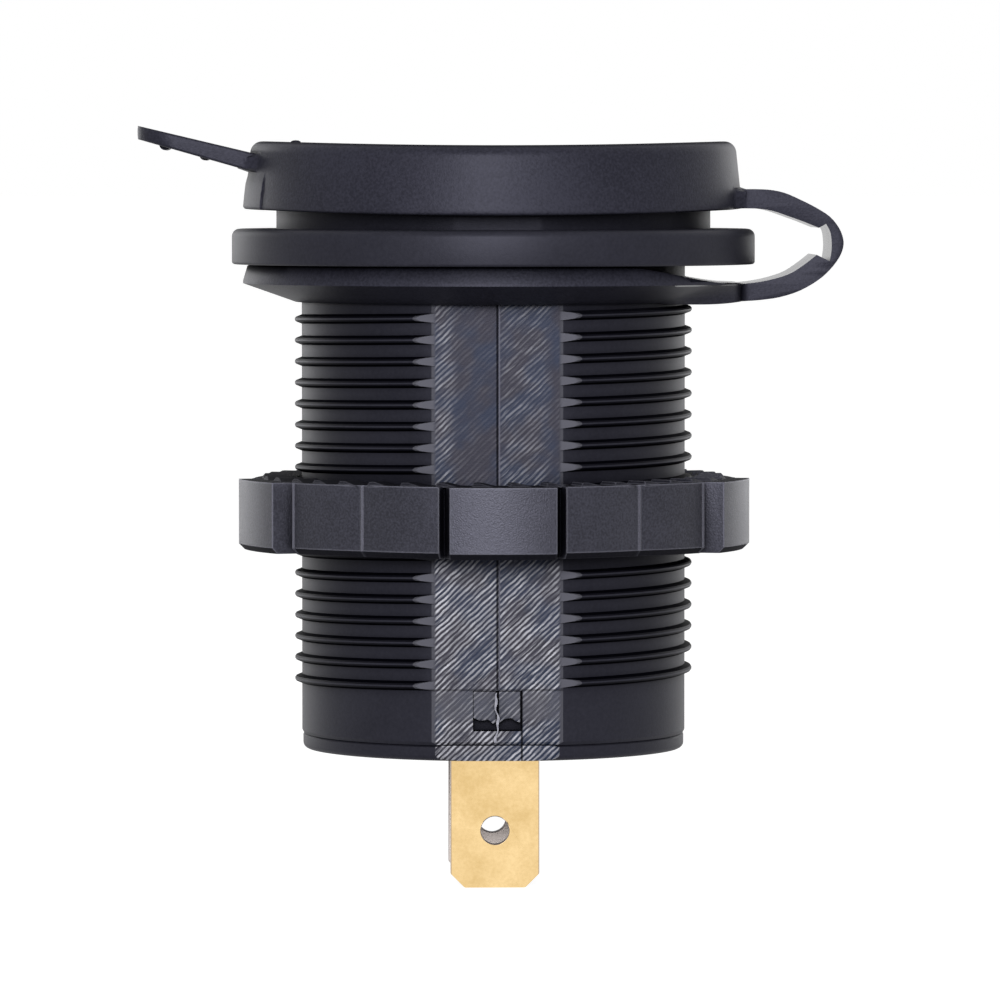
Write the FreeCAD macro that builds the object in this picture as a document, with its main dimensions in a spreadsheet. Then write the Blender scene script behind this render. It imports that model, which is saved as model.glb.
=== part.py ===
import FreeCAD, Part
import os
import re
import Sketcher

# Panel socket with two charging ports, a voltmeter display and a tethered dust cap.
# Lengths are millimetres and angles are degrees. The origin lies on the barrel's axis,
# in the plane of the flange's underside. +Z points out of the face, +X to the cap's hinge.

DRIVING = [
    ("flange_radius", 18.8, "flange that rests on the front of the panel"),
    ("flange_height", 2.54, "flange thickness"),
    ("flange_round", 0.55, "round of the flange's top edge"),
    ("flange_foot_round", 0.2, "round of the flange's lower edge"),
    ("neck_radius", 15.6, "neck that the dust cap closes over"),
    ("neck_top", 7.3, "height of the neck's rim"),
    ("neck_chamfer", 0.5, "lead-in at the neck's rim"),
    ("neck_flat", 15.3, "distance of the neck's two flats from the axis"),
    ("face_recess_radius", 14.5, "recess for the face plate"),
    ("face_seat", 5.0, "height of the shoulder under the face plate"),
    ("barrel_radius", 13.78, "plain barrel, and the thread's root"),
    ("barrel_length", 33.7, "barrel below the flange"),
    ("barrel_bore", 11.6, "inside radius of the barrel"),
    ("flat_distance", 13.08, "distance of the barrel's two flats from the axis"),
    ("thread_crest", 14.28, "radius over the thread"),
    ("thread_pitch", 1.52, "distance from ridge to ridge"),
    ("thread_start", 3.6, "depth of the first ridge below the flange"),
    ("plain_end", 3.9, "barrel left plain past the thread"),
    ("ridge_base", 0.68, "width of a ridge at its foot"),
    ("ridge_tip", 0.22, "width of a ridge at its crest"),
    ("latch_width", 3.4, "width of a latch window"),
    ("latch_height", 3.0, "height of a latch window"),
    ("latch_inset", 2.35, "latch window's centre above the barrel's end"),
    ("hook_width", 1.5, "width of one latch hook"),
    ("hook_spacing", 1.76, "distance between a pair of latch hooks"),
    ("hook_proud", 1.48, "how far a latch hook stands out of the plug"),
    ("hook_play", 0.1, "room in a latch window above a hook"),
    ("hook_lift", 0.95, "room in a latch window below a hook"),
    ("cover_radius", 13.7, "rear cover"),
    ("cover_thickness", 1.08, "rear cover's floor"),
    ("cover_round", 0.4, "round of the rear cover's lower edge"),
    ("cover_gap", 0.02, "seam between the barrel and the rear cover"),
    ("plug_depth", 3.0, "plug of the rear cover inside the barrel"),
    ("plug_wall", 1.5, "wall of that plug"),
    ("plug_clearance", 0.12, "radial gap around that plug"),
    ("blade_width", 6.35, "terminal blade"),
    ("blade_thickness", 0.8, "terminal blade"),
    ("blade_offset", 4.9, "distance of each blade from the axis"),
    ("blade_tip", 44.5, "depth of the blades' tips below the flange"),
    ("blade_corner", 1.0, "cut corner at a blade's tip"),
    ("blade_hole", 1.0, "radius of the hole in a blade"),
    ("blade_hole_inset", 4.1, "that hole's centre above the tip"),
    ("blade_tail_width", 3.0, "solder tail that passes through the power board"),
    ("blade_tail_proud", 0.6, "tail above the power board"),
    ("slot_clearance", 0.1, "gap around a blade in a slot, and between a hook and the board"),
    ("plate_clearance", 0.1, "radial gap around the face plate"),
    ("plate_thickness", 1.5, "face plate"),
    ("port_offset", 6.3, "distance of each port's centre from the axis"),
    ("port_opening_width", 12.5, "port opening along Y"),
    ("port_opening_height", 5.12, "port opening along X"),
    ("shell_wall", 0.3, "sheet of a port's shell"),
    ("shell_depth", 14.0, "port shell behind the face plate"),
    ("tongue_width", 11.1, "contact tongue in a port"),
    ("tongue_thickness", 1.84, "contact tongue in a port"),
    ("tongue_shift", 0.72, "tongue's offset from the port's centre"),
    ("tongue_inset", 0.8, "tongue's end below the shell's mouth"),
    ("tongue_block", 3.0, "insulator block at the bottom of a port"),
    ("tongue_clearance", 0.05, "gap between that block and the shell"),
    ("contact_width", 1.0, "contact strip"),
    ("contact_thickness", 0.2, "contact strip"),
    ("contact_inset", 0.8, "strip's end below the tongue's end"),
    ("contact_inner", 1.0, "inner strips' distance from the middle"),
    ("contact_outer", 3.5, "outer strips' distance from the middle"),
    ("window_width", 15.0, "display window along Y"),
    ("window_height", 5.8, "display window along X"),
    ("window_clearance", 0.05, "gap around the window in the face plate"),
    ("window_sunk", 0.1, "window below the plate's face"),
    ("display_width", 16.0, "display block along Y"),
    ("display_height", 6.2, "display block along X"),
    ("display_depth", 5.5, "display block along the axis"),
    ("display_gap", 0.1, "gap between the display block and the plate"),
    ("display_leg", 0.25, "radius of a display leg"),
    ("display_leg_side", 2.4, "leg rows' distance from the middle"),
    ("display_leg_pitch", 2.54, "distance from leg to leg"),
    ("board_radius", 11.0, "circuit boards"),
    ("board_thickness", 1.6, "circuit boards"),
    ("board_spacing", 16.4, "room between the two boards"),
    ("link_pin_radius", 0.32, "pins that join the two boards"),
    ("link_pin_side", 2.0, "those pins' distance along X"),
    ("link_pin_reach", 9.5, "those pins' distance along Y"),
    ("chip_thickness", 1.5, "both chips"),
    ("driver_width", 4.0, "display driver chip along X"),
    ("driver_length", 10.0, "display driver chip along Y"),
    ("regulator_width", 4.9, "regulator chip along X"),
    ("regulator_length", 3.9, "regulator chip along Y"),
    ("coil_radius", 4.2, "inductor core's rims"),
    ("coil_height", 8.0, "inductor core"),
    ("coil_rim", 1.2, "thickness of a rim of the core"),
    ("coil_stem", 2.0, "radius of the core's stem"),
    ("coil_offset", 5.4, "inductor's distance from the axis"),
    ("winding_radius", 3.9, "outside of the copper winding"),
    ("winding_clearance", 0.05, "gap between winding and core"),
    ("can_radius", 3.15, "capacitor cans"),
    ("can_input_height", 11.0, "input capacitor"),
    ("can_output_height", 8.0, "output capacitor"),
    ("can_round", 0.4, "round of a can's top edge"),
    ("can_side", 5.6, "capacitors' distance along X"),
    ("can_reach", 4.4, "capacitors' distance along Y"),
    ("nut_depth", 15.35, "nut's lobe tops below the flange"),
    ("nut_height", 5.25, "nut without its serrations"),
    ("nut_radius", 17.0, "nut's round body between its lobes"),
    ("nut_bore_clearance", 0.18, "gap between the thread's crest and the nut's bore"),
    ("lobe_radius", 18.44, "nut's five lobes"),
    ("lobe_face_half", 3.75, "half width of a lobe's face"),
    ("lobe_foot_half", 4.5, "half width of a lobe at its foot"),
    ("lobe_foot_radius", 14.9, "where a lobe's sides start"),
    ("lobe_turn", -89.0, "direction of the front lobe"),
    ("nut_chamfer", 0.57, "cut edge under the lobes"),
    ("tooth_height", 0.51, "serrations on the nut's front"),
    ("tooth_width", 1.95, "one serration along the circle"),
    ("serration_radius", 16.9, "outside of the serrated ring"),
    ("ring_radius", 17.7, "tether ring at the flange"),
    ("ring_rim_radius", 18.0, "tether ring at its rim"),
    ("ring_rim_depth", 1.27, "rim of the tether ring"),
    ("ring_depth", 2.7, "tether ring's lowest edge"),
    ("ring_foot_radius", 14.24, "tether ring's lowest edge"),
    ("ring_clearance", 0.15, "gap between the tether ring and the barrel"),
    ("cap_radius", 17.87, "dust cap's lower edge"),
    ("cap_top_radius", 17.47, "dust cap's upper edge"),
    ("cap_round", 0.9, "round of the dust cap's upper edge"),
    ("cap_gap", 1.42, "open space between flange and cap"),
    ("cap_clearance", 0.65, "radial gap between neck and cap"),
    ("cap_rest_gap", 0.06, "cap's inner face above the neck's rim"),
    ("cap_top_thickness", 1.5, "top of the dust cap"),
    ("tab_width", 9.0, "pull tab"),
    ("tab_reach", 25.6, "pull tab's tip from the axis"),
    ("tab_root_low", 6.6, "tab's underside where it meets the cap"),
    ("tab_root_high", 7.85, "tab's upper side where it meets the cap"),
    ("tab_tip_low", 8.95, "tab's underside at the tip"),
    ("tab_tip_high", 9.87, "tab's upper side at the tip"),
    ("tab_tip_lean", 0.45, "lean of the tab's end"),
    ("tab_corner", 2.6, "round of the tab's two corners"),
    ("grip_radius", 0.6, "grip ribs under the tab"),
    ("grip_first", 1.9, "outer rib's distance from the tip"),
    ("grip_pitch", 2.93, "distance between the ribs"),
    ("grip_sunk", 0.24, "depth of the ribs' centres in the tab"),
    ("pad_width", 13.5, "raised pad below the tab"),
    ("pad_proud", 0.08, "how far that pad stands out of the cap"),
    ("hinge_reach", 24.5, "bending line of the strap from the axis"),
    ("hinge_height", 1.6, "bending line of the strap above the flange's underside"),
    ("strap_width", 9.2, "strap along Y"),
    ("strap_thickness", 1.42, "strap"),
    ("web_thickness", 0.91, "thin web at the bending line"),
    ("web_bulge", 0.2, "how far the web's outer side bows out"),
    ("notch_rise", 1.2, "notch above the bending line"),
    ("notch_drop", 1.3, "notch below the bending line"),
    ("notch_depth", 0.95, "depth of the notch into the strap"),
    ("upper_lip_drop", 0.16, "upper arm's lip below the top of the notch"),
    ("lower_lip_rise", 0.32, "lower arm's lip above the foot of the notch"),
    ("shoulder_inset", 0.53, "upper arm's outer shoulder inside the bending line"),
    ("shoulder_rise", 0.8, "that shoulder above the notch"),
    ("elbow_inset", 0.8, "lower arm's outer elbow inside the bending line"),
    ("elbow_drop", 0.53, "that elbow below the notch"),
    ("upper_bend", 20.2, "where the upper arm turns down"),
    ("lower_bend", 20.9, "where the lower arm turns up"),
    ("lower_bend_drop", 0.75, "lower arm's upper side at its bend"),
    ("lower_root", 18.1, "where the lower arm leaves the ring"),
    ("lower_root_drop", 1.2, "lower arm's upper side at the ring"),
    ("dip_start", 12.6, "where the ring begins to droop from the flange"),
    ("dip_bend", 15.2, "where that droop levels out"),
    ("dip_bend_drop", 1.1, "droop at that place"),
    ("strap_foot_reach", 14.31, "lower arm's end under the ring"),
    ("strap_foot_drop", 3.03, "lower arm's lowest point"),
    ("arm_round", 1.6, "round of the strap's outer shoulders"),
]

# Sizes that follow from the driving ones.
SEAM = "(barrel_length + cover_gap)"
PLATE_TOP = "(face_seat + plate_thickness)"
FRONT_BOARD_TOP = "(face_seat - shell_depth)"
FRONT_BOARD_FOOT = f"({FRONT_BOARD_TOP} - board_thickness)"
POWER_BOARD_TOP = f"({FRONT_BOARD_FOOT} - board_spacing)"
POWER_BOARD_FOOT = f"({POWER_BOARD_TOP} - board_thickness)"
NUT_BORE = "(thread_crest + nut_bore_clearance)"
CAP_BOTTOM = "(flange_height + cap_gap)"
CAP_INSIDE = "(neck_radius + cap_clearance)"
CAP_CEILING = "(neck_top + cap_rest_gap)"
CAP_TOP = f"({CAP_CEILING} + cap_top_thickness)"
WEB_INSIDE = "(hinge_reach - web_thickness / 2)"
WEB_OUTSIDE = "(hinge_reach + web_thickness / 2)"
NOTCH_TOP = "(hinge_height + notch_rise)"
NOTCH_FOOT = "(hinge_height - notch_drop)"
RIDGE_SPAN = "(barrel_length - plain_end - thread_start)"
RIDGE_STEPS = f"floor({RIDGE_SPAN} / thread_pitch)"
NUT_LOBES = 5
NUT_TEETH = 40
DISPLAY_LEGS = 5

doc = FreeCAD.newDocument("panel_socket")
sheet = doc.addObject("Spreadsheet::Sheet", "Sizes")
for row, (alias, number, meaning) in enumerate(DRIVING, start=1):
    sheet.set(f"A{row}", meaning)
    sheet.set(f"B{row}", str(number))
    sheet.setAlias(f"B{row}", alias)
doc.recompute()
ALIASES = {alias for alias, number, meaning in DRIVING}


def ref(expression):
    """The expression with each size looked up in the sheet."""
    return re.sub(r"[a-z]\w*", lambda m: f"Sizes.{m[0]}" if m[0] in ALIASES else m[0], expression)


def value(expression):
    """The expression's number, for an object's first position."""
    found = sheet.evalExpression(ref(expression))
    return float(getattr(found, "Value", found))


def bind(thing, **properties):
    """Tie properties of an object to expressions; two underscores stand for a dot."""
    for name, expression in properties.items():
        thing.setExpression(name.replace("__", "."), ref(expression))


def place(thing, at):
    """Tie an object's position to three expressions."""
    for axis, expression in zip("xyz", at):
        thing.setExpression(f"Placement.Base.{axis}", ref(expression))


# Sketches

def plane_of(body, role):
    return next(f for f in body.Origin.OriginFeatures if f.Role == role)


def sketch_on(body, name, role, lift="0"):
    """A sketch on one of the body's own planes, lifted along its normal."""
    sketch = body.newObject("Sketcher::SketchObject", name)
    sketch.AttachmentSupport = [(plane_of(body, role), "")]
    sketch.MapMode = "FlatFace"
    sketch.setExpression("AttachmentOffset.Base.z", ref(lift))
    return sketch


def hold_point(sketch, element, end, across, up):
    """Hold one end of a sketch element at two expressions."""
    for kind, axis, expression in (("DistanceX", -2, across), ("DistanceY", -1, up)):
        number = value(expression)
        if expression == "0":
            sketch.addConstraint(Sketcher.Constraint("PointOnObject", element, end, axis))
            continue
        index = sketch.addConstraint(Sketcher.Constraint(kind, -1, 1, element, end, number))
        sketch.setExpression(f"Constraints[{index}]", ref(expression))


def draw_polygon(sketch, corners):
    """A closed run of straight edges; each corner is a pair of expressions."""
    first = sketch.GeometryCount
    points = [FreeCAD.Vector(value(across), value(up), 0) for across, up in corners]
    count = len(points)
    for index, point in enumerate(points):
        sketch.addGeometry(Part.LineSegment(point, points[(index + 1) % count]))
    for index in range(count):
        following = first + (index + 1) % count
        sketch.addConstraint(Sketcher.Constraint("Coincident", first + index, 2, following, 1))
    for index, (across, up) in enumerate(corners):
        hold_point(sketch, first + index, 1, across, up)


def draw_rectangle(sketch, low, high):
    """A rectangle between two opposite corners."""
    (left, foot), (right, top) = low, high
    draw_polygon(sketch, [(left, foot), (right, foot), (right, top), (left, top)])


def draw_circle(sketch, radius, across="0", up="0"):
    centre = FreeCAD.Vector(value(across), value(up), 0)
    index = sketch.addGeometry(Part.Circle(centre, FreeCAD.Vector(0, 0, 1), value(radius)))
    hold_point(sketch, index, 3, across, up)
    held = sketch.addConstraint(Sketcher.Constraint("Radius", index, value(radius)))
    sketch.setExpression(f"Constraints[{held}]", ref(radius))


def draw_crowned(sketch, radius, face_half, foot, foot_half, sign=""):
    """A bar along X whose outer end is an arc about the origin; a minus sign turns it to -X."""
    face = f"sqrt({radius} ^ 2 - ({face_half}) ^ 2)"
    corners = [
        (f"{sign}{face}", f"{sign}(-({face_half}))"),
        (f"{sign}{face}", f"{sign}({face_half})"),
        (f"{sign}({foot})", f"{sign}({foot_half})"),
        (f"{sign}({foot})", f"{sign}(-({foot_half}))"),
    ]
    points = [FreeCAD.Vector(value(across), value(up), 0) for across, up in corners]
    crown = FreeCAD.Vector(value(f"{sign}({radius})"), 0, 0)
    sketch.addGeometry(Part.Arc(points[0], crown, points[1]))
    count = len(points)
    for start in range(1, count):
        sketch.addGeometry(Part.LineSegment(points[start], points[(start + 1) % count]))
    for element in range(count):
        following = (element + 1) % count
        sketch.addConstraint(Sketcher.Constraint("Coincident", element, 2, following, 1))
    sketch.addConstraint(Sketcher.Constraint("Coincident", 0, 3, -1, 1))
    held = sketch.addConstraint(Sketcher.Constraint("Radius", 0, value(radius)))
    sketch.setExpression(f"Constraints[{held}]", ref(radius))
    for element, end, (across, up) in ((1, 1, corners[1]), (3, 2, corners[0])):
        held = sketch.addConstraint(
            Sketcher.Constraint("DistanceY", -1, 1, element, end, value(up)))
        sketch.setExpression(f"Constraints[{held}]", ref(up))
    for element in (2, 3):
        hold_point(sketch, element, 1, *corners[element])


# Features

def new_body(label):
    body = doc.addObject("PartDesign::Body", label)
    body.Label = label
    return body


def revolve(body, sketch, kind="Revolution"):
    """Turn a sketch of the XZ plane once round the axis, as added or cut material."""
    feature = body.newObject(f"PartDesign::{kind}", f"{kind}_{sketch.Name}")
    feature.Profile = sketch
    feature.ReferenceAxis = (sketch, ["V_Axis"])
    feature.Angle = 360
    return feature


def extrude(body, sketch, length, kind="Pad", both_ways=False, reverse=False):
    """Pad a sketch, or pocket it, by an expression."""
    feature = body.newObject(f"PartDesign::{kind}", f"{kind}_{sketch.Name}")
    feature.Profile = sketch
    feature.Midplane = both_ways
    feature.Reversed = reverse
    bind(feature, Length=length)
    return feature


def repeat_round(body, feature, count):
    """Repeat a feature round the body's Z axis."""
    pattern = body.newObject("PartDesign::PolarPattern", f"Round_{feature.Name}")
    pattern.Originals = [feature]
    pattern.Axis = (plane_of(body, "Z_Axis"), [""])
    pattern.Angle = 360
    pattern.Occurrences = count
    body.Tip = pattern
    return pattern


def edges_where(shape, wanted):
    """Names of the edges for which wanted(edge) is true."""
    return [f"Edge{index}" for index, edge in enumerate(shape.Edges, start=1) if wanted(edge)]


def circle_at(radius, height):
    """True for a round edge about the axis with this radius and height."""
    def wanted(edge):
        curve = edge.Curve
        if curve.TypeId != "Part::GeomCircle":
            return False
        near = abs(curve.Radius - value(radius)) < 0.001
        return near and abs(curve.Center.z - value(height)) < 0.001
    return wanted


def soften(body, name, radius, wanted, kind="Fillet"):
    """Round or chamfer the edges that wanted() picks from the body so far."""
    doc.recompute()
    base = body.Tip
    feature = body.newObject(f"PartDesign::{kind}", name)
    feature.Base = (base, edges_where(base.Shape, wanted))
    bind(feature, **{"Radius" if kind == "Fillet" else "Size": radius})
    return feature


def box(name, low, high):
    """A box between two corners, each three expressions."""
    made = doc.addObject("Part::Box", name)
    for side, start, end in zip(("Length", "Width", "Height"), low, high):
        made.setExpression(side, ref(f"{end} - ({start})"))
    place(made, low)
    return made


def cylinder(name, radius, low, height):
    """An upright cylinder on its lowest centre."""
    made = doc.addObject("Part::Cylinder", name)
    bind(made, Radius=radius, Height=height)
    place(made, low)
    return made


def joined(kind, name, pieces):
    """One object out of several: MultiFuse, or Compound for a group of loose solids."""
    made = doc.addObject(f"Part::{kind}", name)
    if kind == "Compound":
        made.Links = pieces
    else:
        made.Shapes = pieces
    return made


def cut(name, base, tool):
    made = doc.addObject("Part::Cut", name)
    made.Base = base
    made.Tool = tool
    return made


# Housing: flange, neck and threaded barrel, moulded in one piece

def make_housing():
    body = new_body("housing")
    profile = sketch_on(body, "housing_profile", "XZ_Plane")
    draw_polygon(profile, [
        ("barrel_bore", "-barrel_length"),
        ("barrel_radius", "-barrel_length"),
        ("barrel_radius", "0"),
        ("flange_radius", "0"),
        ("flange_radius", "flange_height"),
        ("neck_radius", "flange_height"),
        ("neck_radius", "neck_top - neck_chamfer"),
        ("neck_radius - neck_chamfer", "neck_top"),
        ("face_recess_radius", "neck_top"),
        ("face_recess_radius", "face_seat"),
        ("barrel_bore", "face_seat"),
    ])
    revolve(body, profile)
    soften(body, "flange_edge", "flange_round", circle_at("flange_radius", "flange_height"))
    soften(body, "flange_foot_edge", "flange_foot_round", circle_at("flange_radius", "0"))

    ridge = sketch_on(body, "ridge_profile", "XZ_Plane")
    root = "(barrel_radius - ridge_tip)"
    draw_polygon(ridge, [
        (root, "-thread_start - ridge_base / 2"),
        ("barrel_radius", "-thread_start - ridge_base / 2"),
        ("thread_crest", "-thread_start - ridge_tip / 2"),
        ("thread_crest", "-thread_start + ridge_tip / 2"),
        ("barrel_radius", "-thread_start + ridge_base / 2"),
        (root, "-thread_start + ridge_base / 2"),
    ])
    first = revolve(body, ridge)
    doc.recompute()
    thread = body.newObject("PartDesign::LinearPattern", "thread")
    thread.Originals = [first]
    thread.Direction = (plane_of(body, "Z_Axis"), [""])
    thread.Reversed = True
    bind(thread, Length=f"{RIDGE_STEPS} * thread_pitch", Occurrences=f"{RIDGE_STEPS} + 1")
    body.Tip = thread

    def flats(name, distance, beyond, lift, length):
        sketch = sketch_on(body, name, "XY_Plane", lift)
        draw_rectangle(sketch, (f"-{beyond}", distance), (beyond, beyond))
        draw_rectangle(sketch, (f"-{beyond}", f"-{beyond}"), (beyond, f"-{distance}"))
        extrude(body, sketch, length, "Pocket")

    flats("barrel_flats", "flat_distance", "flange_radius", "0", "barrel_length")
    flats("neck_flats", "neck_flat", "flange_radius", "neck_top", "neck_top - flange_height")

    windows = sketch_on(body, "latch_windows", "XZ_Plane")
    middle = "(latch_inset - barrel_length)"
    draw_rectangle(
        windows,
        ("-latch_width / 2", f"{middle} - latch_height / 2"),
        ("latch_width / 2", f"{middle} + latch_height / 2"),
    )
    extrude(body, windows, "2 * thread_crest", "Pocket", both_ways=True)
    return body


# Face: the plate, its window and the display behind it

def make_face_plate():
    body = new_body("face_plate")
    sketch = sketch_on(body, "plate_outline", "XY_Plane", "face_seat")
    draw_circle(sketch, "face_recess_radius - plate_clearance")
    draw_rectangle(
        sketch,
        ("-window_height / 2", "-window_width / 2"),
        ("window_height / 2", "window_width / 2"),
    )
    for side in ("-", ""):
        draw_rectangle(
            sketch,
            (f"{side}port_offset - port_opening_height / 2", "-port_opening_width / 2"),
            (f"{side}port_offset + port_opening_height / 2", "port_opening_width / 2"),
        )
    extrude(body, sketch, "plate_thickness")
    return body


def make_display_window():
    across = "(window_height / 2 - window_clearance)"
    along = "(window_width / 2 - window_clearance)"
    return box(
        "display_window",
        (f"-{across}", f"-{along}", "face_seat - display_gap / 2"),
        (across, along, f"{PLATE_TOP} - window_sunk"),
    )


def make_led_display():
    top = "(face_seat - display_gap)"
    foot = f"({top} - display_depth)"
    block = box(
        "display_block",
        ("-display_height / 2", "-display_width / 2", foot),
        ("display_height / 2", "display_width / 2", top),
    )
    legs = []
    for row in ("-", ""):
        for index in range(DISPLAY_LEGS):
            step = index - (DISPLAY_LEGS - 1) / 2
            at = (f"{row}display_leg_side", f"{step} * display_leg_pitch", FRONT_BOARD_TOP)
            name = f"display_leg_{len(legs) + 1}"
            legs.append(cylinder(name, "display_leg", at, f"{foot} - {FRONT_BOARD_TOP}"))
    return joined("MultiFuse", "led_display", [block] + legs)


# One charging port: sheet shell, insulator with its tongue, four contact strips

def make_port(place_name, side):
    centre = f"({side}port_offset)"
    half_height = "(port_opening_height / 2)"
    half_width = "(port_opening_width / 2)"

    low, high = f"{centre} - {half_height}", f"{centre} + {half_height}"
    outer = box(
        f"shell_outer_{place_name}",
        (f"{low} - shell_wall", f"-{half_width} - shell_wall", FRONT_BOARD_TOP),
        (f"{high} + shell_wall", f"{half_width} + shell_wall", "face_seat"),
    )
    inner = box(
        f"shell_inner_{place_name}",
        (low, f"-{half_width}", FRONT_BOARD_TOP),
        (high, half_width, "face_seat"),
    )
    shell = cut(f"port_shell_{place_name}", outer, inner)

    block_top = f"({FRONT_BOARD_TOP} + tongue_block)"
    block = box(
        f"tongue_block_{place_name}",
        (f"{low} + tongue_clearance", f"tongue_clearance - {half_width}", FRONT_BOARD_TOP),
        (f"{high} - tongue_clearance", f"{half_width} - tongue_clearance", block_top),
    )
    tongue_low = f"({centre} - tongue_shift - tongue_thickness / 2)"
    tongue_high = f"({centre} - tongue_shift + tongue_thickness / 2)"
    tongue_end = "(face_seat - tongue_inset)"
    blade = box(
        f"tongue_blade_{place_name}",
        (tongue_low, "-tongue_width / 2", block_top),
        (tongue_high, "tongue_width / 2", tongue_end),
    )
    tongue = joined("MultiFuse", f"port_tongue_{place_name}", [block, blade])

    strips = []
    for middle in ("-contact_outer", "-contact_inner", "contact_inner", "contact_outer"):
        strips.append(box(
            f"strip_{place_name}_{len(strips) + 1}",
            (tongue_high, f"{middle} - contact_width / 2", block_top),
            (f"{tongue_high} + contact_thickness", f"{middle} + contact_width / 2",
             f"{tongue_end} - contact_inset"),
        ))
    contacts = joined("Compound", f"port_contacts_{place_name}", strips)
    return [shell, tongue, contacts]


# Electronics inside the barrel

def make_front_board():
    return cylinder("front_board", "board_radius", ("0", "0", FRONT_BOARD_FOOT), "board_thickness")


def make_driver_chip():
    return box(
        "driver_chip",
        ("-driver_width / 2", "-driver_length / 2", f"{FRONT_BOARD_FOOT} - chip_thickness"),
        ("driver_width / 2", "driver_length / 2", FRONT_BOARD_FOOT),
    )


def make_board_pins():
    pins = []
    for across in ("-link_pin_side", "link_pin_side"):
        for along in ("-link_pin_reach", "link_pin_reach"):
            name = f"link_pin_{len(pins) + 1}"
            at = (across, along, POWER_BOARD_TOP)
            pins.append(cylinder(name, "link_pin_radius", at, "board_spacing"))
    return joined("Compound", "board_pins", pins)


def make_power_board():
    body = new_body("power_board")
    sketch = sketch_on(body, "board_outline", "XY_Plane", POWER_BOARD_FOOT)
    draw_circle(sketch, "board_radius")
    half_width = "(blade_tail_width / 2 + slot_clearance)"
    half_thickness = "(blade_thickness / 2 + slot_clearance)"
    for side in ("-", ""):
        draw_rectangle(
            sketch,
            (f"-{half_width}", f"{side}blade_offset - {half_thickness}"),
            (half_width, f"{side}blade_offset + {half_thickness}"),
        )
    extrude(body, sketch, "board_thickness")
    return body


def make_regulator_chip():
    return box(
        "regulator_chip",
        ("-regulator_width / 2", "-regulator_length / 2", f"{POWER_BOARD_FOOT} - chip_thickness"),
        ("regulator_width / 2", "regulator_length / 2", POWER_BOARD_FOOT),
    )


def make_inductor():
    core = new_body("inductor_core")
    profile = sketch_on(core, "core_profile", "XZ_Plane")
    draw_polygon(profile, [
        ("0", "0"),
        ("coil_radius", "0"),
        ("coil_radius", "coil_rim"),
        ("coil_stem", "coil_rim"),
        ("coil_stem", "coil_height - coil_rim"),
        ("coil_radius", "coil_height - coil_rim"),
        ("coil_radius", "coil_height"),
        ("0", "coil_height"),
    ])
    revolve(core, profile)
    place(core, ("-coil_offset", "0", POWER_BOARD_TOP))

    winding = new_body("inductor_winding")
    section = sketch_on(winding, "winding_profile", "XZ_Plane")
    draw_rectangle(
        section,
        ("coil_stem + winding_clearance", "coil_rim + winding_clearance"),
        ("winding_radius", "coil_height - coil_rim - winding_clearance"),
    )
    revolve(winding, section)
    place(winding, ("-coil_offset", "0", POWER_BOARD_TOP))
    return [core, winding]


def make_capacitor(name, side, height):
    body = new_body(name)
    sketch = sketch_on(body, f"{name}_outline", "XY_Plane")
    draw_circle(sketch, "can_radius")
    extrude(body, sketch, height)
    soften(body, f"{name}_edge", "can_round", circle_at("can_radius", height))
    place(body, ("can_side", f"{side}can_reach", POWER_BOARD_TOP))
    return body


# Rear cover: floor, plug and the hooks that click into the latch windows

def make_rear_cover():
    body = new_body("rear_cover")
    floor_foot = f"({SEAM} + cover_thickness)"
    plug_radius = "(barrel_bore - plug_clearance)"
    profile = sketch_on(body, "cover_profile", "XZ_Plane")
    draw_polygon(profile, [
        ("0", f"-{floor_foot}"),
        ("cover_radius", f"-{floor_foot}"),
        ("cover_radius", f"-{SEAM}"),
        (plug_radius, f"-{SEAM}"),
        (plug_radius, f"plug_depth - {SEAM}"),
        (f"{plug_radius} - plug_wall", f"plug_depth - {SEAM}"),
        (f"{plug_radius} - plug_wall", f"-{SEAM}"),
        ("0", f"-{SEAM}"),
    ])
    revolve(body, profile)
    soften(body, "cover_edge", "cover_round", circle_at("cover_radius", f"-{floor_foot}"))

    flats = sketch_on(body, "cover_flats", "XY_Plane", f"-{SEAM}")
    beyond = "flange_radius"
    draw_rectangle(flats, (f"-{beyond}", "flat_distance"), (beyond, beyond))
    draw_rectangle(flats, (f"-{beyond}", f"-{beyond}"), (beyond, "-flat_distance"))
    extrude(body, flats, "cover_thickness", "Pocket")

    window_foot = "(latch_inset - latch_height / 2 - barrel_length)"
    root = "(board_radius + slot_clearance)"
    reach = f"({plug_radius} + hook_proud)"
    hooks = sketch_on(body, "latch_hooks", "XY_Plane", f"{window_foot} + hook_lift")
    for across in ("-", ""):
        left = f"{across}hook_spacing / 2 - hook_width / 2"
        right = f"{across}hook_spacing / 2 + hook_width / 2"
        draw_rectangle(hooks, (left, root), (right, reach))
        draw_rectangle(hooks, (left, f"-{reach}"), (right, f"-{root}"))
    extrude(body, hooks, "latch_height - hook_lift - hook_play")

    slots = sketch_on(body, "blade_slots", "XY_Plane", f"-{SEAM}")
    half_width = "(blade_width / 2 + slot_clearance)"
    half_thickness = "(blade_thickness / 2 + slot_clearance)"
    for side in ("-", ""):
        draw_rectangle(
            slots,
            (f"-{half_width}", f"{side}blade_offset - {half_thickness}"),
            (half_width, f"{side}blade_offset + {half_thickness}"),
        )
    extrude(body, slots, "cover_thickness", "Pocket")
    return body


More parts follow.
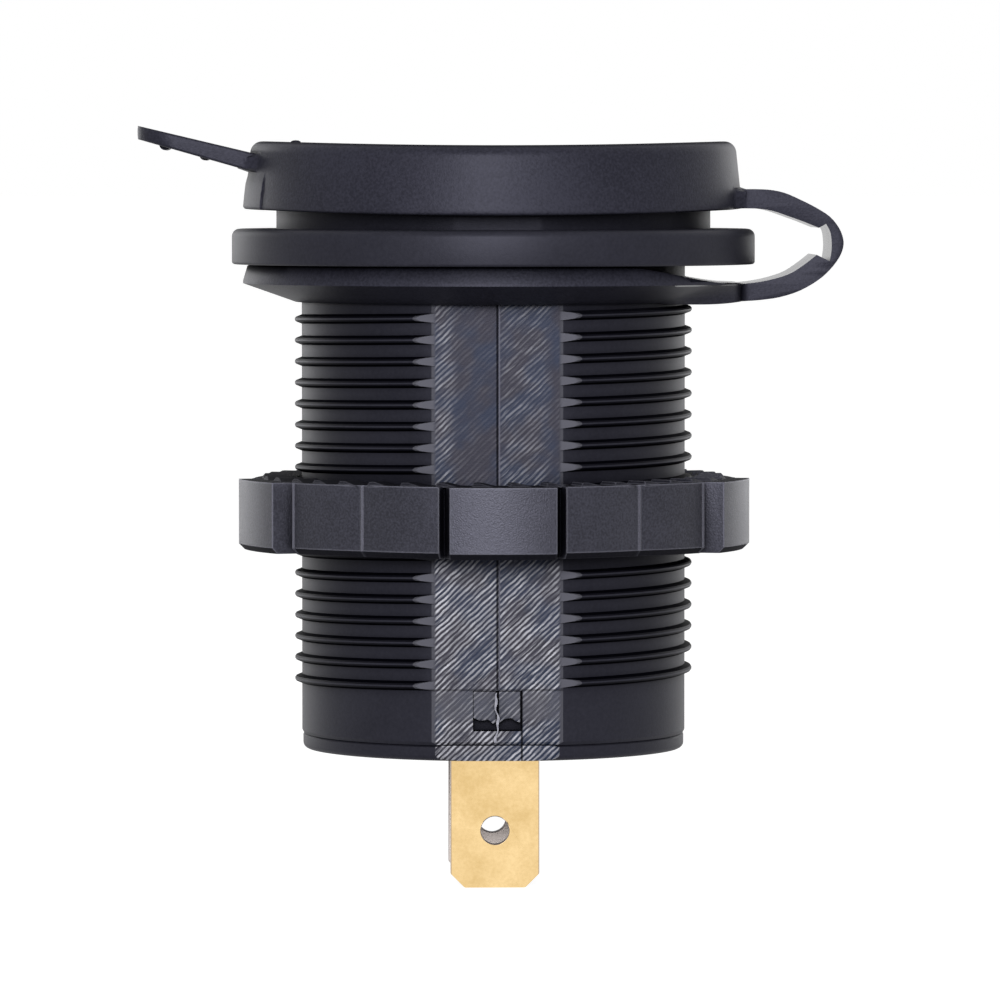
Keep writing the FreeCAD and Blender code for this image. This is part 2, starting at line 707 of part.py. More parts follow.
def make_blade(name, side):
    body = new_body(name)
    half = "(blade_width / 2)"
    tail = "(blade_tail_width / 2)"
    sketch = sketch_on(body, f"{name}_outline", "XZ_Plane")
    draw_polygon(sketch, [
        (f"-{half}", POWER_BOARD_FOOT),
        (f"-{half}", "blade_corner - blade_tip"),
        (f"blade_corner - {half}", "-blade_tip"),
        (f"{half} - blade_corner", "-blade_tip"),
        (half, "blade_corner - blade_tip"),
        (half, POWER_BOARD_FOOT),
        (tail, POWER_BOARD_FOOT),
        (tail, f"{POWER_BOARD_TOP} + blade_tail_proud"),
        (f"-{tail}", f"{POWER_BOARD_TOP} + blade_tail_proud"),
        (f"-{tail}", POWER_BOARD_FOOT),
    ])
    draw_circle(sketch, "blade_hole", "0", "blade_hole_inset - blade_tip")
    extrude(body, sketch, "blade_thickness", both_ways=True)
    place(body, ("0", f"{side}blade_offset", "0"))
    return body


# Ring nut: round body, five grip lobes and a serrated front

def make_ring_nut():
    body = new_body("ring_nut")
    foot = "(-nut_depth - nut_height)"
    top = "(tooth_height - nut_depth)"
    disc = sketch_on(body, "nut_disc", "XY_Plane", foot)
    draw_circle(disc, "nut_radius")
    extrude(body, disc, f"{top} - {foot}")

    lobe = sketch_on(body, "nut_lobe", "XY_Plane", foot)
    draw_crowned(lobe, "lobe_radius", "lobe_face_half", "lobe_foot_radius", "lobe_foot_half")
    repeat_round(body, extrude(body, lobe, f"{top} - {foot}"), NUT_LOBES)

    bore = sketch_on(body, "nut_bore", "XY_Plane", top)
    draw_circle(bore, NUT_BORE)
    extrude(body, bore, f"{top} - {foot}", "Pocket")

    beyond = "(lobe_radius + nut_chamfer)"
    edges = sketch_on(body, "nut_edges", "XZ_Plane")
    draw_polygon(edges, [
        ("serration_radius", "-nut_depth"),
        (beyond, "-nut_depth"),
        (beyond, top),
        ("serration_radius", top),
    ])
    draw_polygon(edges, [
        ("lobe_radius - nut_chamfer", foot),
        (beyond, foot),
        (beyond, f"{foot} + 2 * nut_chamfer"),
    ])
    revolve(body, edges, "Groove")

    space = sketch_on(body, "tooth_space", "YZ_Plane", f"{NUT_BORE} - tooth_height")
    draw_polygon(space, [
        ("-tooth_width / 2", top),
        ("tooth_width / 2", "-nut_depth"),
        ("tooth_width / 2", top),
    ])
    depth = f"serration_radius + tooth_height - ({NUT_BORE} - tooth_height)"
    repeat_round(body, extrude(body, space, depth, "Pocket", reverse=True), NUT_TEETH)
    body.setExpression("Placement.Rotation.Angle", ref("lobe_turn"))
    return body


# Rubber moulding: tether ring with the lower arm, hinge web, dust cap with the upper arm

def bar_of(body, name, corners, width):
    """Pad a polygon of the XZ plane equally to both sides of that plane."""
    sketch = sketch_on(body, name, "XZ_Plane")
    draw_polygon(sketch, corners)
    return extrude(body, sketch, width, both_ways=True)


def across_y(reach, height):
    """True for an edge along Y through this point of the XZ plane."""
    def wanted(edge):
        low, high = edge.Vertexes[0].Point, edge.Vertexes[-1].Point
        along = abs(low.x - high.x) < 0.001 and abs(low.z - high.z) < 0.001
        near = abs(low.x - value(reach)) < 0.001 and abs(low.z - value(height)) < 0.001
        return along and near
    return wanted


def make_tether_ring():
    body = new_body("tether_ring")
    bore = "(barrel_radius + ring_clearance)"
    profile = sketch_on(body, "ring_profile", "XZ_Plane")
    draw_polygon(profile, [
        (bore, "0"),
        (bore, "-ring_depth"),
        ("ring_foot_radius", "-ring_depth"),
        ("ring_rim_radius", "-ring_rim_depth"),
        ("ring_radius", "0"),
    ])
    revolve(body, profile)
    dip = sketch_on(body, "ring_droop", "XZ_Plane")
    draw_polygon(dip, [
        ("dip_start", "0"),
        ("dip_bend", "-dip_bend_drop"),
        ("lower_root", "-lower_root_drop"),
        ("lower_root", "0"),
    ])
    extrude(body, dip, "2 * ring_rim_radius", "Pocket", both_ways=True)

    elbow = ("hinge_reach - elbow_inset", f"{NOTCH_FOOT} - elbow_drop")
    bend_foot = ("lower_bend", "-lower_bend_drop - strap_thickness")
    bar_of(body, "lower_arm", [
        ("strap_foot_reach", "-strap_foot_drop"),
        ("lower_root", "-lower_root_drop - strap_thickness"),
        bend_foot,
        elbow,
        (f"{WEB_OUTSIDE} - web_thickness / 2", NOTCH_FOOT),
        (WEB_INSIDE, NOTCH_FOOT),
        (f"{WEB_INSIDE} - notch_depth", f"{NOTCH_FOOT} + lower_lip_rise"),
        ("lower_bend", "-lower_bend_drop"),
        ("lower_root", "-lower_root_drop"),
        ("strap_foot_reach", "-lower_root_drop"),
    ], "strap_width")
    soften(body, "lower_arm_bend", "arm_round", across_y(*bend_foot))
    return body


def make_hinge_web():
    body = new_body("hinge_web")
    bar_of(body, "web", [
        (WEB_INSIDE, NOTCH_FOOT),
        (f"{WEB_OUTSIDE} - web_thickness / 2", NOTCH_FOOT),
        (WEB_OUTSIDE, "hinge_height"),
        (f"{WEB_OUTSIDE} - web_bulge", NOTCH_TOP),
        (WEB_INSIDE, NOTCH_TOP),
    ], "strap_width")
    return body


def make_dust_cap():
    body = new_body("dust_cap")
    profile = sketch_on(body, "cap_profile", "XZ_Plane")
    draw_polygon(profile, [
        ("0", CAP_BOTTOM),
        ("cap_radius", CAP_BOTTOM),
        ("cap_top_radius", CAP_TOP),
        ("0", CAP_TOP),
    ])
    revolve(body, profile)
    soften(body, "cap_edge", "cap_round", circle_at("cap_top_radius", CAP_TOP))

    wall_middle = f"({CAP_INSIDE} + cap_radius) / 2"
    arm_top = f"({CAP_BOTTOM} + strap_thickness)"
    shoulder = ("hinge_reach - shoulder_inset", f"{NOTCH_TOP} + shoulder_rise")
    bar_of(body, "upper_arm", [
        (wall_middle, CAP_BOTTOM),
        ("upper_bend", CAP_BOTTOM),
        (f"{WEB_INSIDE} - notch_depth", f"{NOTCH_TOP} - upper_lip_drop"),
        (WEB_INSIDE, NOTCH_TOP),
        (f"{WEB_OUTSIDE} - web_bulge", NOTCH_TOP),
        shoulder,
        ("upper_bend", arm_top),
        (wall_middle, arm_top),
    ], "strap_width")
    soften(body, "upper_arm_bend", "arm_round", across_y("upper_bend", arm_top))

    inner_end = f"-({CAP_INSIDE} - cap_clearance)"
    bar_of(body, "pull_tab", [
        (inner_end, "tab_root_low"),
        (inner_end, "tab_root_high"),
        ("-(cap_top_radius)", "tab_root_high"),
        ("tab_tip_lean - tab_reach", "tab_tip_high"),
        ("-tab_reach", "tab_tip_low"),
        ("-(cap_top_radius)", "tab_root_low"),
    ], "tab_width")

    def tip_side(edge):
        low, high = edge.Vertexes[0].Point, edge.Vertexes[-1].Point
        outer = value("tab_width") / 2 - 0.001
        beyond = value("tab_tip_lean - tab_reach") + 0.001
        return abs(low.y + high.y) > 2 * outer and max(low.x, high.x) < beyond

    soften(body, "tab_corners", "tab_corner", tip_side)

    grips = sketch_on(body, "grip_ribs", "XZ_Plane")
    slope = "((tab_tip_low - tab_root_low) / (tab_reach - cap_top_radius))"
    for inward in ("grip_first", "(grip_first + grip_pitch)"):
        draw_circle(
            grips, "grip_radius",
            f"{inward} - tab_reach", f"tab_tip_low - {inward} * {slope} + grip_sunk",
        )
    extrude(body, grips, "tab_width - 2 * tab_corner", both_ways=True)

    pad = sketch_on(body, "tab_pad", "XY_Plane", CAP_BOTTOM)
    pad_foot = f"({CAP_INSIDE} - cap_clearance)"
    draw_crowned(pad, "(cap_radius + pad_proud)", "pad_width / 2", pad_foot, "pad_width / 2", "-")
    extrude(body, pad, f"tab_root_low - {CAP_BOTTOM}")

    hollow = sketch_on(body, "cap_hollow", "XY_Plane", CAP_CEILING)
    draw_circle(hollow, CAP_INSIDE)
    extrude(body, hollow, CAP_CEILING, "Pocket")
    return body


pieces = [make_housing(), make_face_plate(), make_display_window(), make_led_display()]
pieces += make_port("upper", "-") + make_port("lower", "")
pieces += [make_front_board(), make_driver_chip(), make_board_pins()]
pieces += [make_power_board(), make_regulator_chip()]
pieces += make_inductor()
pieces.append(make_capacitor("capacitor_input", "", "can_input_height"))
pieces.append(make_capacitor("capacitor_output", "-", "can_output_height"))
pieces.append(make_rear_cover())
pieces.append(make_blade("blade_positive", "-"))
pieces.append(make_blade("blade_negative", ""))
pieces += [make_ring_nut(), make_tether_ring(), make_hinge_web(), make_dust_cap()]
doc.recompute()

for thing in doc.Objects:
    if "Invalid" in thing.State or "Error" in thing.State:
        raise SystemExit(f"{thing.Label}: {thing.State}")
os.makedirs("parts", exist_ok=True)
for piece in pieces:
    if piece.Shape.isNull() or not piece.Shape.isValid():
        raise SystemExit(f"{piece.Label}: no valid shape")
    piece.Shape.exportStep(os.path.join("parts", f"{piece.Label}.step"))
    print(f"{piece.Label}: {len(piece.Shape.Solids)} solid, {piece.Shape.Volume:.1f} mm3")
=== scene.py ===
import math

import bmesh
import bpy
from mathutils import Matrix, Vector
from mathutils.geometry import tessellate_polygon


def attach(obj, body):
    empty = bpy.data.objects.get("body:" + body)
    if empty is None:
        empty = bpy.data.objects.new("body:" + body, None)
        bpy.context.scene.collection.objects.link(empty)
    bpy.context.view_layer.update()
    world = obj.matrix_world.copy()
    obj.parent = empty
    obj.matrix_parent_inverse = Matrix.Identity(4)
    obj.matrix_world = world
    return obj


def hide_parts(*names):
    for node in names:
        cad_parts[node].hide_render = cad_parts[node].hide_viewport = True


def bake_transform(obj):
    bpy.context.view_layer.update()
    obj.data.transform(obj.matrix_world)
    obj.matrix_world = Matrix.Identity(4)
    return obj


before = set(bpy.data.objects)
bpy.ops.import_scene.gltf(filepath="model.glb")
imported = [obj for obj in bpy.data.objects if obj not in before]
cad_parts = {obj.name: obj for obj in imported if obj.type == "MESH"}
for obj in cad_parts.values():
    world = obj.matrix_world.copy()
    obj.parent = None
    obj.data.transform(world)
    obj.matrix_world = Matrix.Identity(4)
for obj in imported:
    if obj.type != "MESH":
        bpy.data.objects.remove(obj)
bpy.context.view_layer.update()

# All sizes below are millimetres and degrees; MM turns them into the scene's metres.
MM = 0.001

# Housing
FLANGE_RADIUS = 18.8
FLANGE_HEIGHT = 2.54
FLANGE_ROUND = 0.55
FLANGE_FOOT_ROUND = 0.2
NECK_RADIUS = 15.6
NECK_TOP = 7.3
NECK_CHAMFER = 0.5
NECK_FLAT = 15.3
RECESS_RADIUS = 14.5
FACE_SEAT = 5.0
BARREL_RADIUS = 13.78
BARREL_BORE = 11.6
FLAT = 13.08
EDGE_BREAK = 0.12

# Thread: one start, right-hand. Its first turn begins at the middle of the back flat.
CREST_RADIUS = 14.28
PITCH = 1.52
THREAD_TOP = -4.33
THREAD_TURNS = 17
RIDGE_BASE = 0.68
RIDGE_TIP = 0.28
FADE = (375, 405)
COLUMN_STEP = 1.5

# Latch windows and rear cover
WINDOW_HALF = 1.72
STEM_REACH = 12.3
WINDOW_LOW = -32.7
WINDOW_HIGH = -29.85
HOOK_HIGH = -29.89
HOOK_REACH = 13.02
LINE_LEVEL = -29.8
SEAM = -33.72
COVER_RADIUS = 13.7
COVER_FOOT = -34.8
COVER_ROUND = 0.4
SLOT_GAP = 0.1

# Ring nut
NUT_TOP = -15.35
NUT_FOOT = -20.4
NUT_CHAMFER = 0.42
NUT_BORE = 14.46
NUT_RADIUS = 17.25
NUT_WAIST = 16.6
NUT_LINE = 0.07
LOBE_RADIUS = 18.44
LOBE_FACE_HALF = 11.75
LOBE_TURN = -89.0
LOBES = 5
LOBE_STEP = 360 / LOBES
GROOVE = [(16.8, 3.75), (15.8, 4.05), (16.8, 4.45)]
GROOVE_END = 4.5
NUT_LINE_HALF = 0.4
TEETH = 40
TOOTH_HEIGHT = 0.24
TOOTH_INNER = 14.65
TOOTH_OUTER = 16.9
TOOTH_BASE = (-0.55, 1.25)
TOOTH_TIP = (-0.45, 0.0)

# Terminal blades
BLADE_HALF = 3.175
BLADE_THICKNESS = 0.8
BLADE_OFFSET = 4.9
BLADE_TIP = -44.5
BLADE_TOP = -34.0
BLADE_CORNER = 1.0
BLADE_HOLE = 1.0
BLADE_HOLE_HEIGHT = -40.4

# Dust cap, strap and tether ring
CAP_RADIUS = 17.87
CAP_TOP_RADIUS = 17.47
CAP_BOTTOM = 3.96
CAP_TOP = 8.86
CAP_ROUND = 0.9
CAP_EDGE = 0.22
CAP_INSIDE = 16.25
CAP_CEILING = 7.36
CAP_SAG = 0.4
GATE_MARK = -14.2
PAD_PROUD = 0.12
PAD_HALF = 6.56
PAD_TOP = 6.6
PAD_FADE = 1.0
TAB_HALF = 4.5
TAB_CORNER = 2.6
TAB_TIP = 25.5
TAB_TIP_ROUND = 0.22
TAB_EDGE = 0.18
GRIP_RADIUS = 0.42
ROOT_FILLET = 0.8
STRAP_HALF = 4.6
STRAP_ROOT = (3.99, 5.36)
RING_RADIUS = 17.7
RING_RIM_RADIUS = 18.0
RING_RIM = -1.27
RING_FOOT = -2.7
RING_FOOT_RADIUS = 14.24
RING_BORE = 13.93
RING_DROOP = 1.33
DROOP_START = 8.0
DROOP_END = 17.5
FLARE_REACH = 17.6
FLARE_EASE = 8.5
HINGE_REACH = 24.5
TETHER_START = 12.5
TETHER_END = 25.4


# Mesh helpers

def spread(start, end, steps):
    """Evenly spaced values from the start to the end, with both of them."""
    return [start + (end - start) * index / steps for index in range(steps + 1)]


def arc(centre, radius, start, end, steps):
    """Points on an arc in a plane, from one angle to the other."""
    turns = [math.radians(angle) for angle in spread(start, end, steps)]
    return [(centre[0] + radius * math.cos(turn), centre[1] + radius * math.sin(turn)) for turn in turns]


def box(low, high):
    """The corners of an upright rectangle between two of them."""
    return [low, (high[0], low[1]), high, (low[0], high[1])]


def rectangle(middle, size, corner=0.3, steps=3):
    """A rounded rectangle round its middle."""
    half = [part / 2 - corner for part in size]
    points = []
    for side, up, start in ((1, 1, 0), (-1, 1, 90), (-1, -1, 180), (1, -1, 270)):
        centre = (middle[0] + side * half[0], middle[1] + up * half[1])
        points += arc(centre, corner, start, start + 90, steps)
    return points


def make_object(name, vertices, faces):
    """An object from millimetre vertices, with its faces turned outwards."""
    mesh = bpy.data.meshes.new(name)
    mesh.from_pydata([(x * MM, y * MM, z * MM) for x, y, z in vertices], [], faces)
    work = bmesh.new()
    work.from_mesh(mesh)
    bmesh.ops.remove_doubles(work, verts=work.verts, dist=1e-7)
    bmesh.ops.recalc_face_normals(work, faces=work.faces)
    work.to_mesh(mesh)
    work.free()
    made = bpy.data.objects.new(name, mesh)
    bpy.context.scene.collection.objects.link(made)
    return made


def modify(thing, kind, **settings):
    """Put one modifier on the object and bake it into its mesh."""
    modifier = thing.modifiers.new(kind, kind)
    for name, setting in settings.items():
        setattr(modifier, name, setting)
    graph = bpy.context.evaluated_depsgraph_get()
    mesh = bpy.data.meshes.new_from_object(thing.evaluated_get(graph))
    thing.modifiers.clear()
    old = thing.data
    thing.data = mesh
    bpy.data.meshes.remove(old)


def boolean(thing, other, operation):
    """Join or cut with another object, which is used up."""
    modify(thing, "BOOLEAN", operation=operation, solver="EXACT", object=other)
    bpy.data.objects.remove(other)


def bevel(thing, width, segments=2, angle=35):
    """Round every edge that is sharper than the angle."""
    modify(thing, "BEVEL", width=width * MM, segments=segments, limit_method="ANGLE",
           angle_limit=math.radians(angle), use_clamp_overlap=True)


def weigh_normals(thing):
    """Keep flat faces evenly lit beside rounded edges."""
    modify(thing, "WEIGHTED_NORMAL", keep_sharp=True)


def shade(thing, angle=30):
    """Smooth shading that breaks at edges sharper than the angle."""
    mesh = thing.data
    mesh.polygons.foreach_set("use_smooth", [True] * len(mesh.polygons))
    work = bmesh.new()
    work.from_mesh(mesh)
    limit = math.radians(angle)
    for edge in work.edges:
        edge.smooth = not (edge.is_manifold and edge.calc_face_angle(0) > limit)
    work.to_mesh(mesh)
    work.free()


def polar(radius, angle, height):
    """A point round the Z axis, from an angle in degrees."""
    turn = math.radians(angle)
    return radius * math.cos(turn), radius * math.sin(turn), height


def shift(thing, x=0.0, y=0.0, z=0.0):
    """Move the mesh itself by millimetres."""
    for corner in thing.data.vertices:
        corner.co += Vector((x, y, z)) * MM
    return thing


def skin_faces(rings, closed, start=0):
    """Faces over rings of the same number of points; closed joins the last ring to the first."""
    size, rows = len(rings[0]), len(rings)
    faces = []
    if not closed:
        last = start + (rows - 1) * size
        faces = [tuple(range(start, start + size)), tuple(last + index for index in reversed(range(size)))]
    for row in range(rows if closed else rows - 1):
        here, there = start + row * size, start + (row + 1) % rows * size
        for index in range(size):
            after = (index + 1) % size
            faces.append((here + index, here + after, there + after, there + index))
    return faces


def skin(name, rings, closed):
    """An object from rings, which is a closed tube or has a cap at each end."""
    return make_object(name, [point for ring in rings for point in ring], skin_faces(rings, closed))


def lathe(name, profile, steps=192, flat=None, angles=None):
    """Turn a closed profile of (radius, height) round Z; flat limits it in Y both ways."""
    angles = angles or [360 * index / steps for index in range(steps)]
    if flat:
        angles = columns_for([flat_angle(flat, radius) for radius, _ in profile], steps)[:-1]
    rings = [[polar(min(radius, flat_limit(flat, angle)), angle, height) for angle in angles]
             for radius, height in profile]
    return skin(name, rings, closed=True)


def flat_limit(flat, angle):
    """How far from the axis a flat, if there is one, lets a surface reach at this angle."""
    return flat / max(abs(math.sin(math.radians(angle))), 1e-6) if flat else math.inf


def flat_angle(flat, radius):
    """Half the angle that a flat spans on a circle of this radius."""
    return math.degrees(math.acos(flat / radius)) if radius > flat else 0


def columns_for(halves, steps):
    """Angles from the back's middle once round, with each flat's edges among them."""
    regular = [90 + 360 * index / steps for index in range(steps + 1)]
    exact = []
    for half in sorted(set(round(h, 4) for h in halves if h > 0.01)):
        exact += [90 + half, 270 - half, 270 + half, 450 - half]
    kept = [a for a in regular if all(abs(a - e) > 0.25 for e in exact)]
    return sorted(kept + exact)


def extrude_outline(name, outline, width, axis="Y", holes=()):
    """A slab with any holes: an outline in the XZ plane spread along Y, or one in XY along Z."""
    loops = [list(outline)] + [list(hole) for hole in holes]
    flat_points = [point for loop in loops for point in loop]
    fills = tessellate_polygon([[Vector((across, up, 0)) for across, up in loop] for loop in loops])
    count = len(flat_points)
    vertices = [(across, level, up) if axis == "Y" else (across, up, level)
                for level in (-width / 2, width / 2) for across, up in flat_points]
    faces = [tuple(fill) for fill in fills]
    faces += [tuple(count + index for index in reversed(fill)) for fill in fills]
    start = 0
    for loop in loops:
        for index in range(len(loop)):
            here, there = start + index, start + (index + 1) % len(loop)
            faces.append((here, there, there + count, here + count))
        start += len(loop)
    return make_object(name, vertices, faces)


def smooth_line(points, steps):
    """A curve through the points, with that many steps between each pair."""
    padded = [points[0]] + list(points) + [points[-1]]
    found = []
    for index in range(1, len(padded) - 2):
        a, b, c, d = (Vector(p) for p in padded[index - 1:index + 3])
        for step in range(steps):
            t = step / steps
            found.append(tuple(0.5 * (2 * b + (c - a) * t + (2 * a - 5 * b + 4 * c - d) * t ** 2
                                      + (3 * b - a - 3 * c + d) * t ** 3)))
    found.append(tuple(points[-1]))
    return found


# Materials

SPECULAR_TINT = (0.8, 0.8, 1.0, 1)
DEEP_SHADE = (0.001, 0.001, 0.002)
PALE_PLASTIC = (0.055, 0.055, 0.066)


def grey(value):
    return value, value, value


def set_inputs(node, settings):
    """Fixed values for a node's inputs; an underscore stands for the space in an input's name."""
    for name, setting in settings.items():
        node.inputs[name.replace("_", " ")].default_value = setting


class Tree:
    """A short way to write a node tree."""

    def __init__(self, tree):
        self.tree = tree

    def add(self, kind, **settings):
        node = self.tree.nodes.new(kind)
        for name, setting in settings.items():
            setattr(node, name, setting)
        return node

    def link(self, source, target):
        self.tree.links.new(source, target)

    def give(self, socket, given):
        """Set a socket to a number or a colour, or link it to another socket."""
        if isinstance(given, (int, float)):
            socket.default_value = given
        elif isinstance(given, tuple):
            socket.default_value = (*given, 1)
        elif given is not None:
            self.link(given, socket)

    def math(self, operation, *given):
        node = self.add("ShaderNodeMath", operation=operation)
        for socket, value in zip(node.inputs, given):
            self.give(socket, value)
        return node.outputs[0]

    def times(self, first, *others):
        for other in others:
            first = self.math("MULTIPLY", first, other)
        return first

    def line(self, source, slope, rise):
        """Slope times the source, plus the rise."""
        return self.math("MULTIPLY_ADD", source, slope, rise)

    def most(self, first, *others):
        for other in others:
            first = self.math("MAXIMUM", first, other)
        return first

    def ranged(self, source, low, high, start=0.0, end=1.0, **settings):
        """Carry a value from one range over to another, and stop at its ends."""
        node = self.add("ShaderNodeMapRange", **settings)
        self.link(source, node.inputs["Value"])
        set_inputs(node, {"From Min": low, "From Max": high, "To Min": start, "To Max": end})
        return node.outputs["Result"]


class Surface(Tree):
    """A short way to write a material's nodes."""

    def __init__(self, name):
        self.material = bpy.data.materials.new(name)
        self.material.use_nodes = True
        super().__init__(self.material.node_tree)
        self.shader = self.tree.nodes["Principled BSDF"]
        self.place = self.add("ShaderNodeTexCoord").outputs["Object"]

    def split(self, vector):
        """X, Y and Z of a vector."""
        node = self.add("ShaderNodeSeparateXYZ")
        self.link(vector, node.inputs[0])
        return node.outputs

    def facing(self):
        """X, Y and Z of the direction that the surface looks in."""
        return self.split(self.add("ShaderNodeNewGeometry").outputs["Normal"])

    def mapped(self, vector, **settings):
        """A vector turned or scaled."""
        node = self.add("ShaderNodeMapping")
        self.link(vector, node.inputs["Vector"])
        set_inputs(node, settings)
        return node.outputs[0]

    def noise(self, size, detail=2.0, place=None, roughness=0.5):
        """Noise whose grains are about this many millimetres across."""
        node = self.add("ShaderNodeTexNoise")
        self.link(place or self.place, node.inputs["Vector"])
        set_inputs(node, {"Scale": 1 / (size * MM), "Detail": detail, "Roughness": roughness})
        return node.outputs["Fac"]

    def wave(self, vector, direction, **settings):
        """Parallel bands across one direction."""
        node = self.add("ShaderNodeTexWave", wave_type="BANDS", bands_direction=direction)
        self.link(vector, node.inputs["Vector"])
        set_inputs(node, settings)
        return node.outputs["Fac"]

    def mixed(self, first, second, share):
        """Weighted mean of two values, with this share of the first."""
        return self.math("ADD", self.times(first, share), self.times(second, 1 - share))

    def ramp(self, source, stops):
        node = self.add("ShaderNodeValToRGB")
        self.link(source, node.inputs["Fac"])
        while len(node.color_ramp.elements) < len(stops):
            node.color_ramp.elements.new(0.5)
        for element, (position, colour) in zip(node.color_ramp.elements, stops):
            element.position = position
            element.color = (*colour, 1)
        return node.outputs["Color"]

    def blend(self, share, first, second):
        """Mix two colours, each a socket or a fixed one."""
        node = self.add("ShaderNodeMix", data_type="RGBA")
        self.give(node.inputs[0], share)
        for socket, given in zip([s for s in node.inputs if s.type == "RGBA"], (first, second)):
            self.give(socket, given)
        return [s for s in node.outputs if s.type == "RGBA"][0]

    def bump(self, height, depth, under=None):
        """Bump of this many millimetres, on top of an earlier one."""
        node = self.add("ShaderNodeBump")
        set_inputs(node, {"Strength": 1.0, "Distance": depth * MM})
        self.link(height, node.inputs["Height"])
        self.give(node.inputs["Normal"], under)
        return node.outputs["Normal"]

    def edges(self, radius):
        """A mask of the sharp edges, and the normal of a surface with those edges rounded."""
        rounded = self.add("ShaderNodeBevel", samples=4)
        rounded.inputs["Radius"].default_value = radius * MM
        plain = self.add("ShaderNodeNewGeometry").outputs["Normal"]
        turned = self.add("ShaderNodeVectorMath", operation="DOT_PRODUCT")
        self.link(rounded.outputs["Normal"], turned.inputs[0])
        self.link(plain, turned.inputs[1])
        mask = self.ramp(turned.outputs["Value"], [(0.92, grey(1)), (0.99, grey(0))])
        return mask, rounded.outputs["Normal"]

    def crevice(self, reach, sharpness):
        """Ambient occlusion: 1 in the open, falling to 0 in corners narrower than this reach; used to paint
        shade into corners.
        """
        node = self.add("ShaderNodeAmbientOcclusion", samples=6)
        node.inputs["Distance"].default_value = reach * MM
        return self.math("POWER", node.outputs["AO"], sharpness)

    def band(self, source, middle, half, soft=0.05):
        """A mask of the places where a coordinate lies within a band, in millimetres."""
        away = self.math("ABSOLUTE", self.math("SUBTRACT", source, middle * MM))
        return self.ranged(away, (half - soft) * MM, (half + soft) * MM, 1.0, 0.0,
                           interpolation_type="SMOOTHSTEP")

    def shine(self, plain, source):
        """Specular level from a socket, beside the plain level without it, with a bluish tint."""
        socket = self.shader.inputs["Specular IOR Level"]
        socket.default_value = plain
        self.link(source, socket)
        self.shader.inputs["Specular Tint"].default_value = SPECULAR_TINT

    def finish(self, colour, rough, normal=None, **settings):
        for name, given in (("Base Color", colour), ("Roughness", rough), ("Normal", normal)):
            self.give(self.shader.inputs[name], given)
        set_inputs(self.shader, settings)
        return self.material


def moulded(name, dark, light, rough, grain=0.09, grain_depth=0.009, shine=0.2, edge_highlight=None, smooth=None,
            shade_and_dullness=None):
    """Grained dark plastic or rubber, with painted shade in corners and, if asked, a painted highlight on
    sharp edges and painted shade with a rougher finish where a mask is low.
    """
    made = Surface(name)
    cloud = made.noise(6.0, detail=3)
    speck = made.noise(grain * 1.6, detail=1)
    colour = made.ramp(made.mixed(cloud, speck, 0.4), [(0.38, dark), (0.62, light)])
    uneven = made.line(cloud, 0.14, rough - 0.07)
    height = made.noise(grain, detail=2)
    # Painted shade: in corners the colour falls towards deep shade and the shine drops.
    open_air = made.crevice(1.2, 1.2)
    rounded = None
    # Painted highlight: sharp edges get a paler colour, except in corners.
    if edge_highlight:
        mask, rounded = made.edges(0.18)
        colour = made.blend(made.times(mask, open_air), colour, edge_highlight)
    if smooth:
        mask = smooth(made)
        uneven = made.line(mask, -0.3, uneven)
        height = made.times(height, made.math("SUBTRACT", 1.0, mask))
        open_air = made.most(open_air, mask)
    # Painted shade, and a rougher finish, where this mask is low.
    if shade_and_dullness:
        unshaded_and_glossy = shade_and_dullness(made)
        open_air = made.times(open_air, unshaded_and_glossy)
        uneven = made.line(made.math("SUBTRACT", 1.0, unshaded_and_glossy), 0.45, uneven)
    colour = made.blend(open_air, DEEP_SHADE, colour)
    made.shine(shine, made.times(open_air, shine))
    return made.finish(colour, uneven, made.bump(height, grain_depth, under=rounded))


def tether_smoothness(made):
    """A mask of the tether's level faces and the web's inside, which are smooth."""
    facing, place = made.facing(), made.split(made.place)
    level = made.math("GREATER_THAN", made.math("ABSOLUTE", facing["Z"]), 0.6)
    inside = made.math("LESS_THAN", facing["X"], -0.6)
    tether = made.band(place["X"], (TETHER_START + TETHER_END) / 2, (TETHER_END - TETHER_START) / 2)
    below = made.math("LESS_THAN", place["Z"], STRAP_ROOT[1] * MM)
    above = made.math("GREATER_THAN", place["Z"], (RING_RIM - 0.2) * MM)
    return made.times(made.most(level, inside), tether, below, above)


def rubber_shade_and_dullness(made):
    """Low on the cap's top, and in the soft crease where the strap leaves the ring, 1 elsewhere; there the
    rubber gets painted shade and a duller finish.
    """
    facing, place = made.facing(), made.split(made.place)
    crease = made.times(made.band(place["X"], FLARE_REACH, 0.3, soft=0.3),
                        made.math("LESS_THAN", place["Z"], (RING_RIM - 0.1) * MM))
    top = made.times(made.ranged(facing["Z"], 0.75, 0.98),
                     made.math("GREATER_THAN", place["Z"], (CAP_CEILING - 0.6) * MM),
                     made.math("LESS_THAN", place["X"], HINGE_REACH * MM))
    return made.line(made.most(crease, top), -0.75, 1.0)


def level_faces(made):
    """Low on faces that look up or down, 1 elsewhere; there the nut gets painted shade and a rougher finish.
    """
    return made.ranged(made.math("ABSOLUTE", made.facing()["Z"]), 0.3, 0.7, 1.0, 0.2)


HATCH_TURN = 43
HATCH_PITCH = 0.30
HATCH_HALF = 4.4
STREAKS_HALF = 4.8
STREAKS = [(0.0, 1), (0.13, 1), (0.22, 0.2), (0.48, 0.12), (0.56, 0.7), (0.84, 0.6), (0.92, 0.1), (1.0, 0.4)]


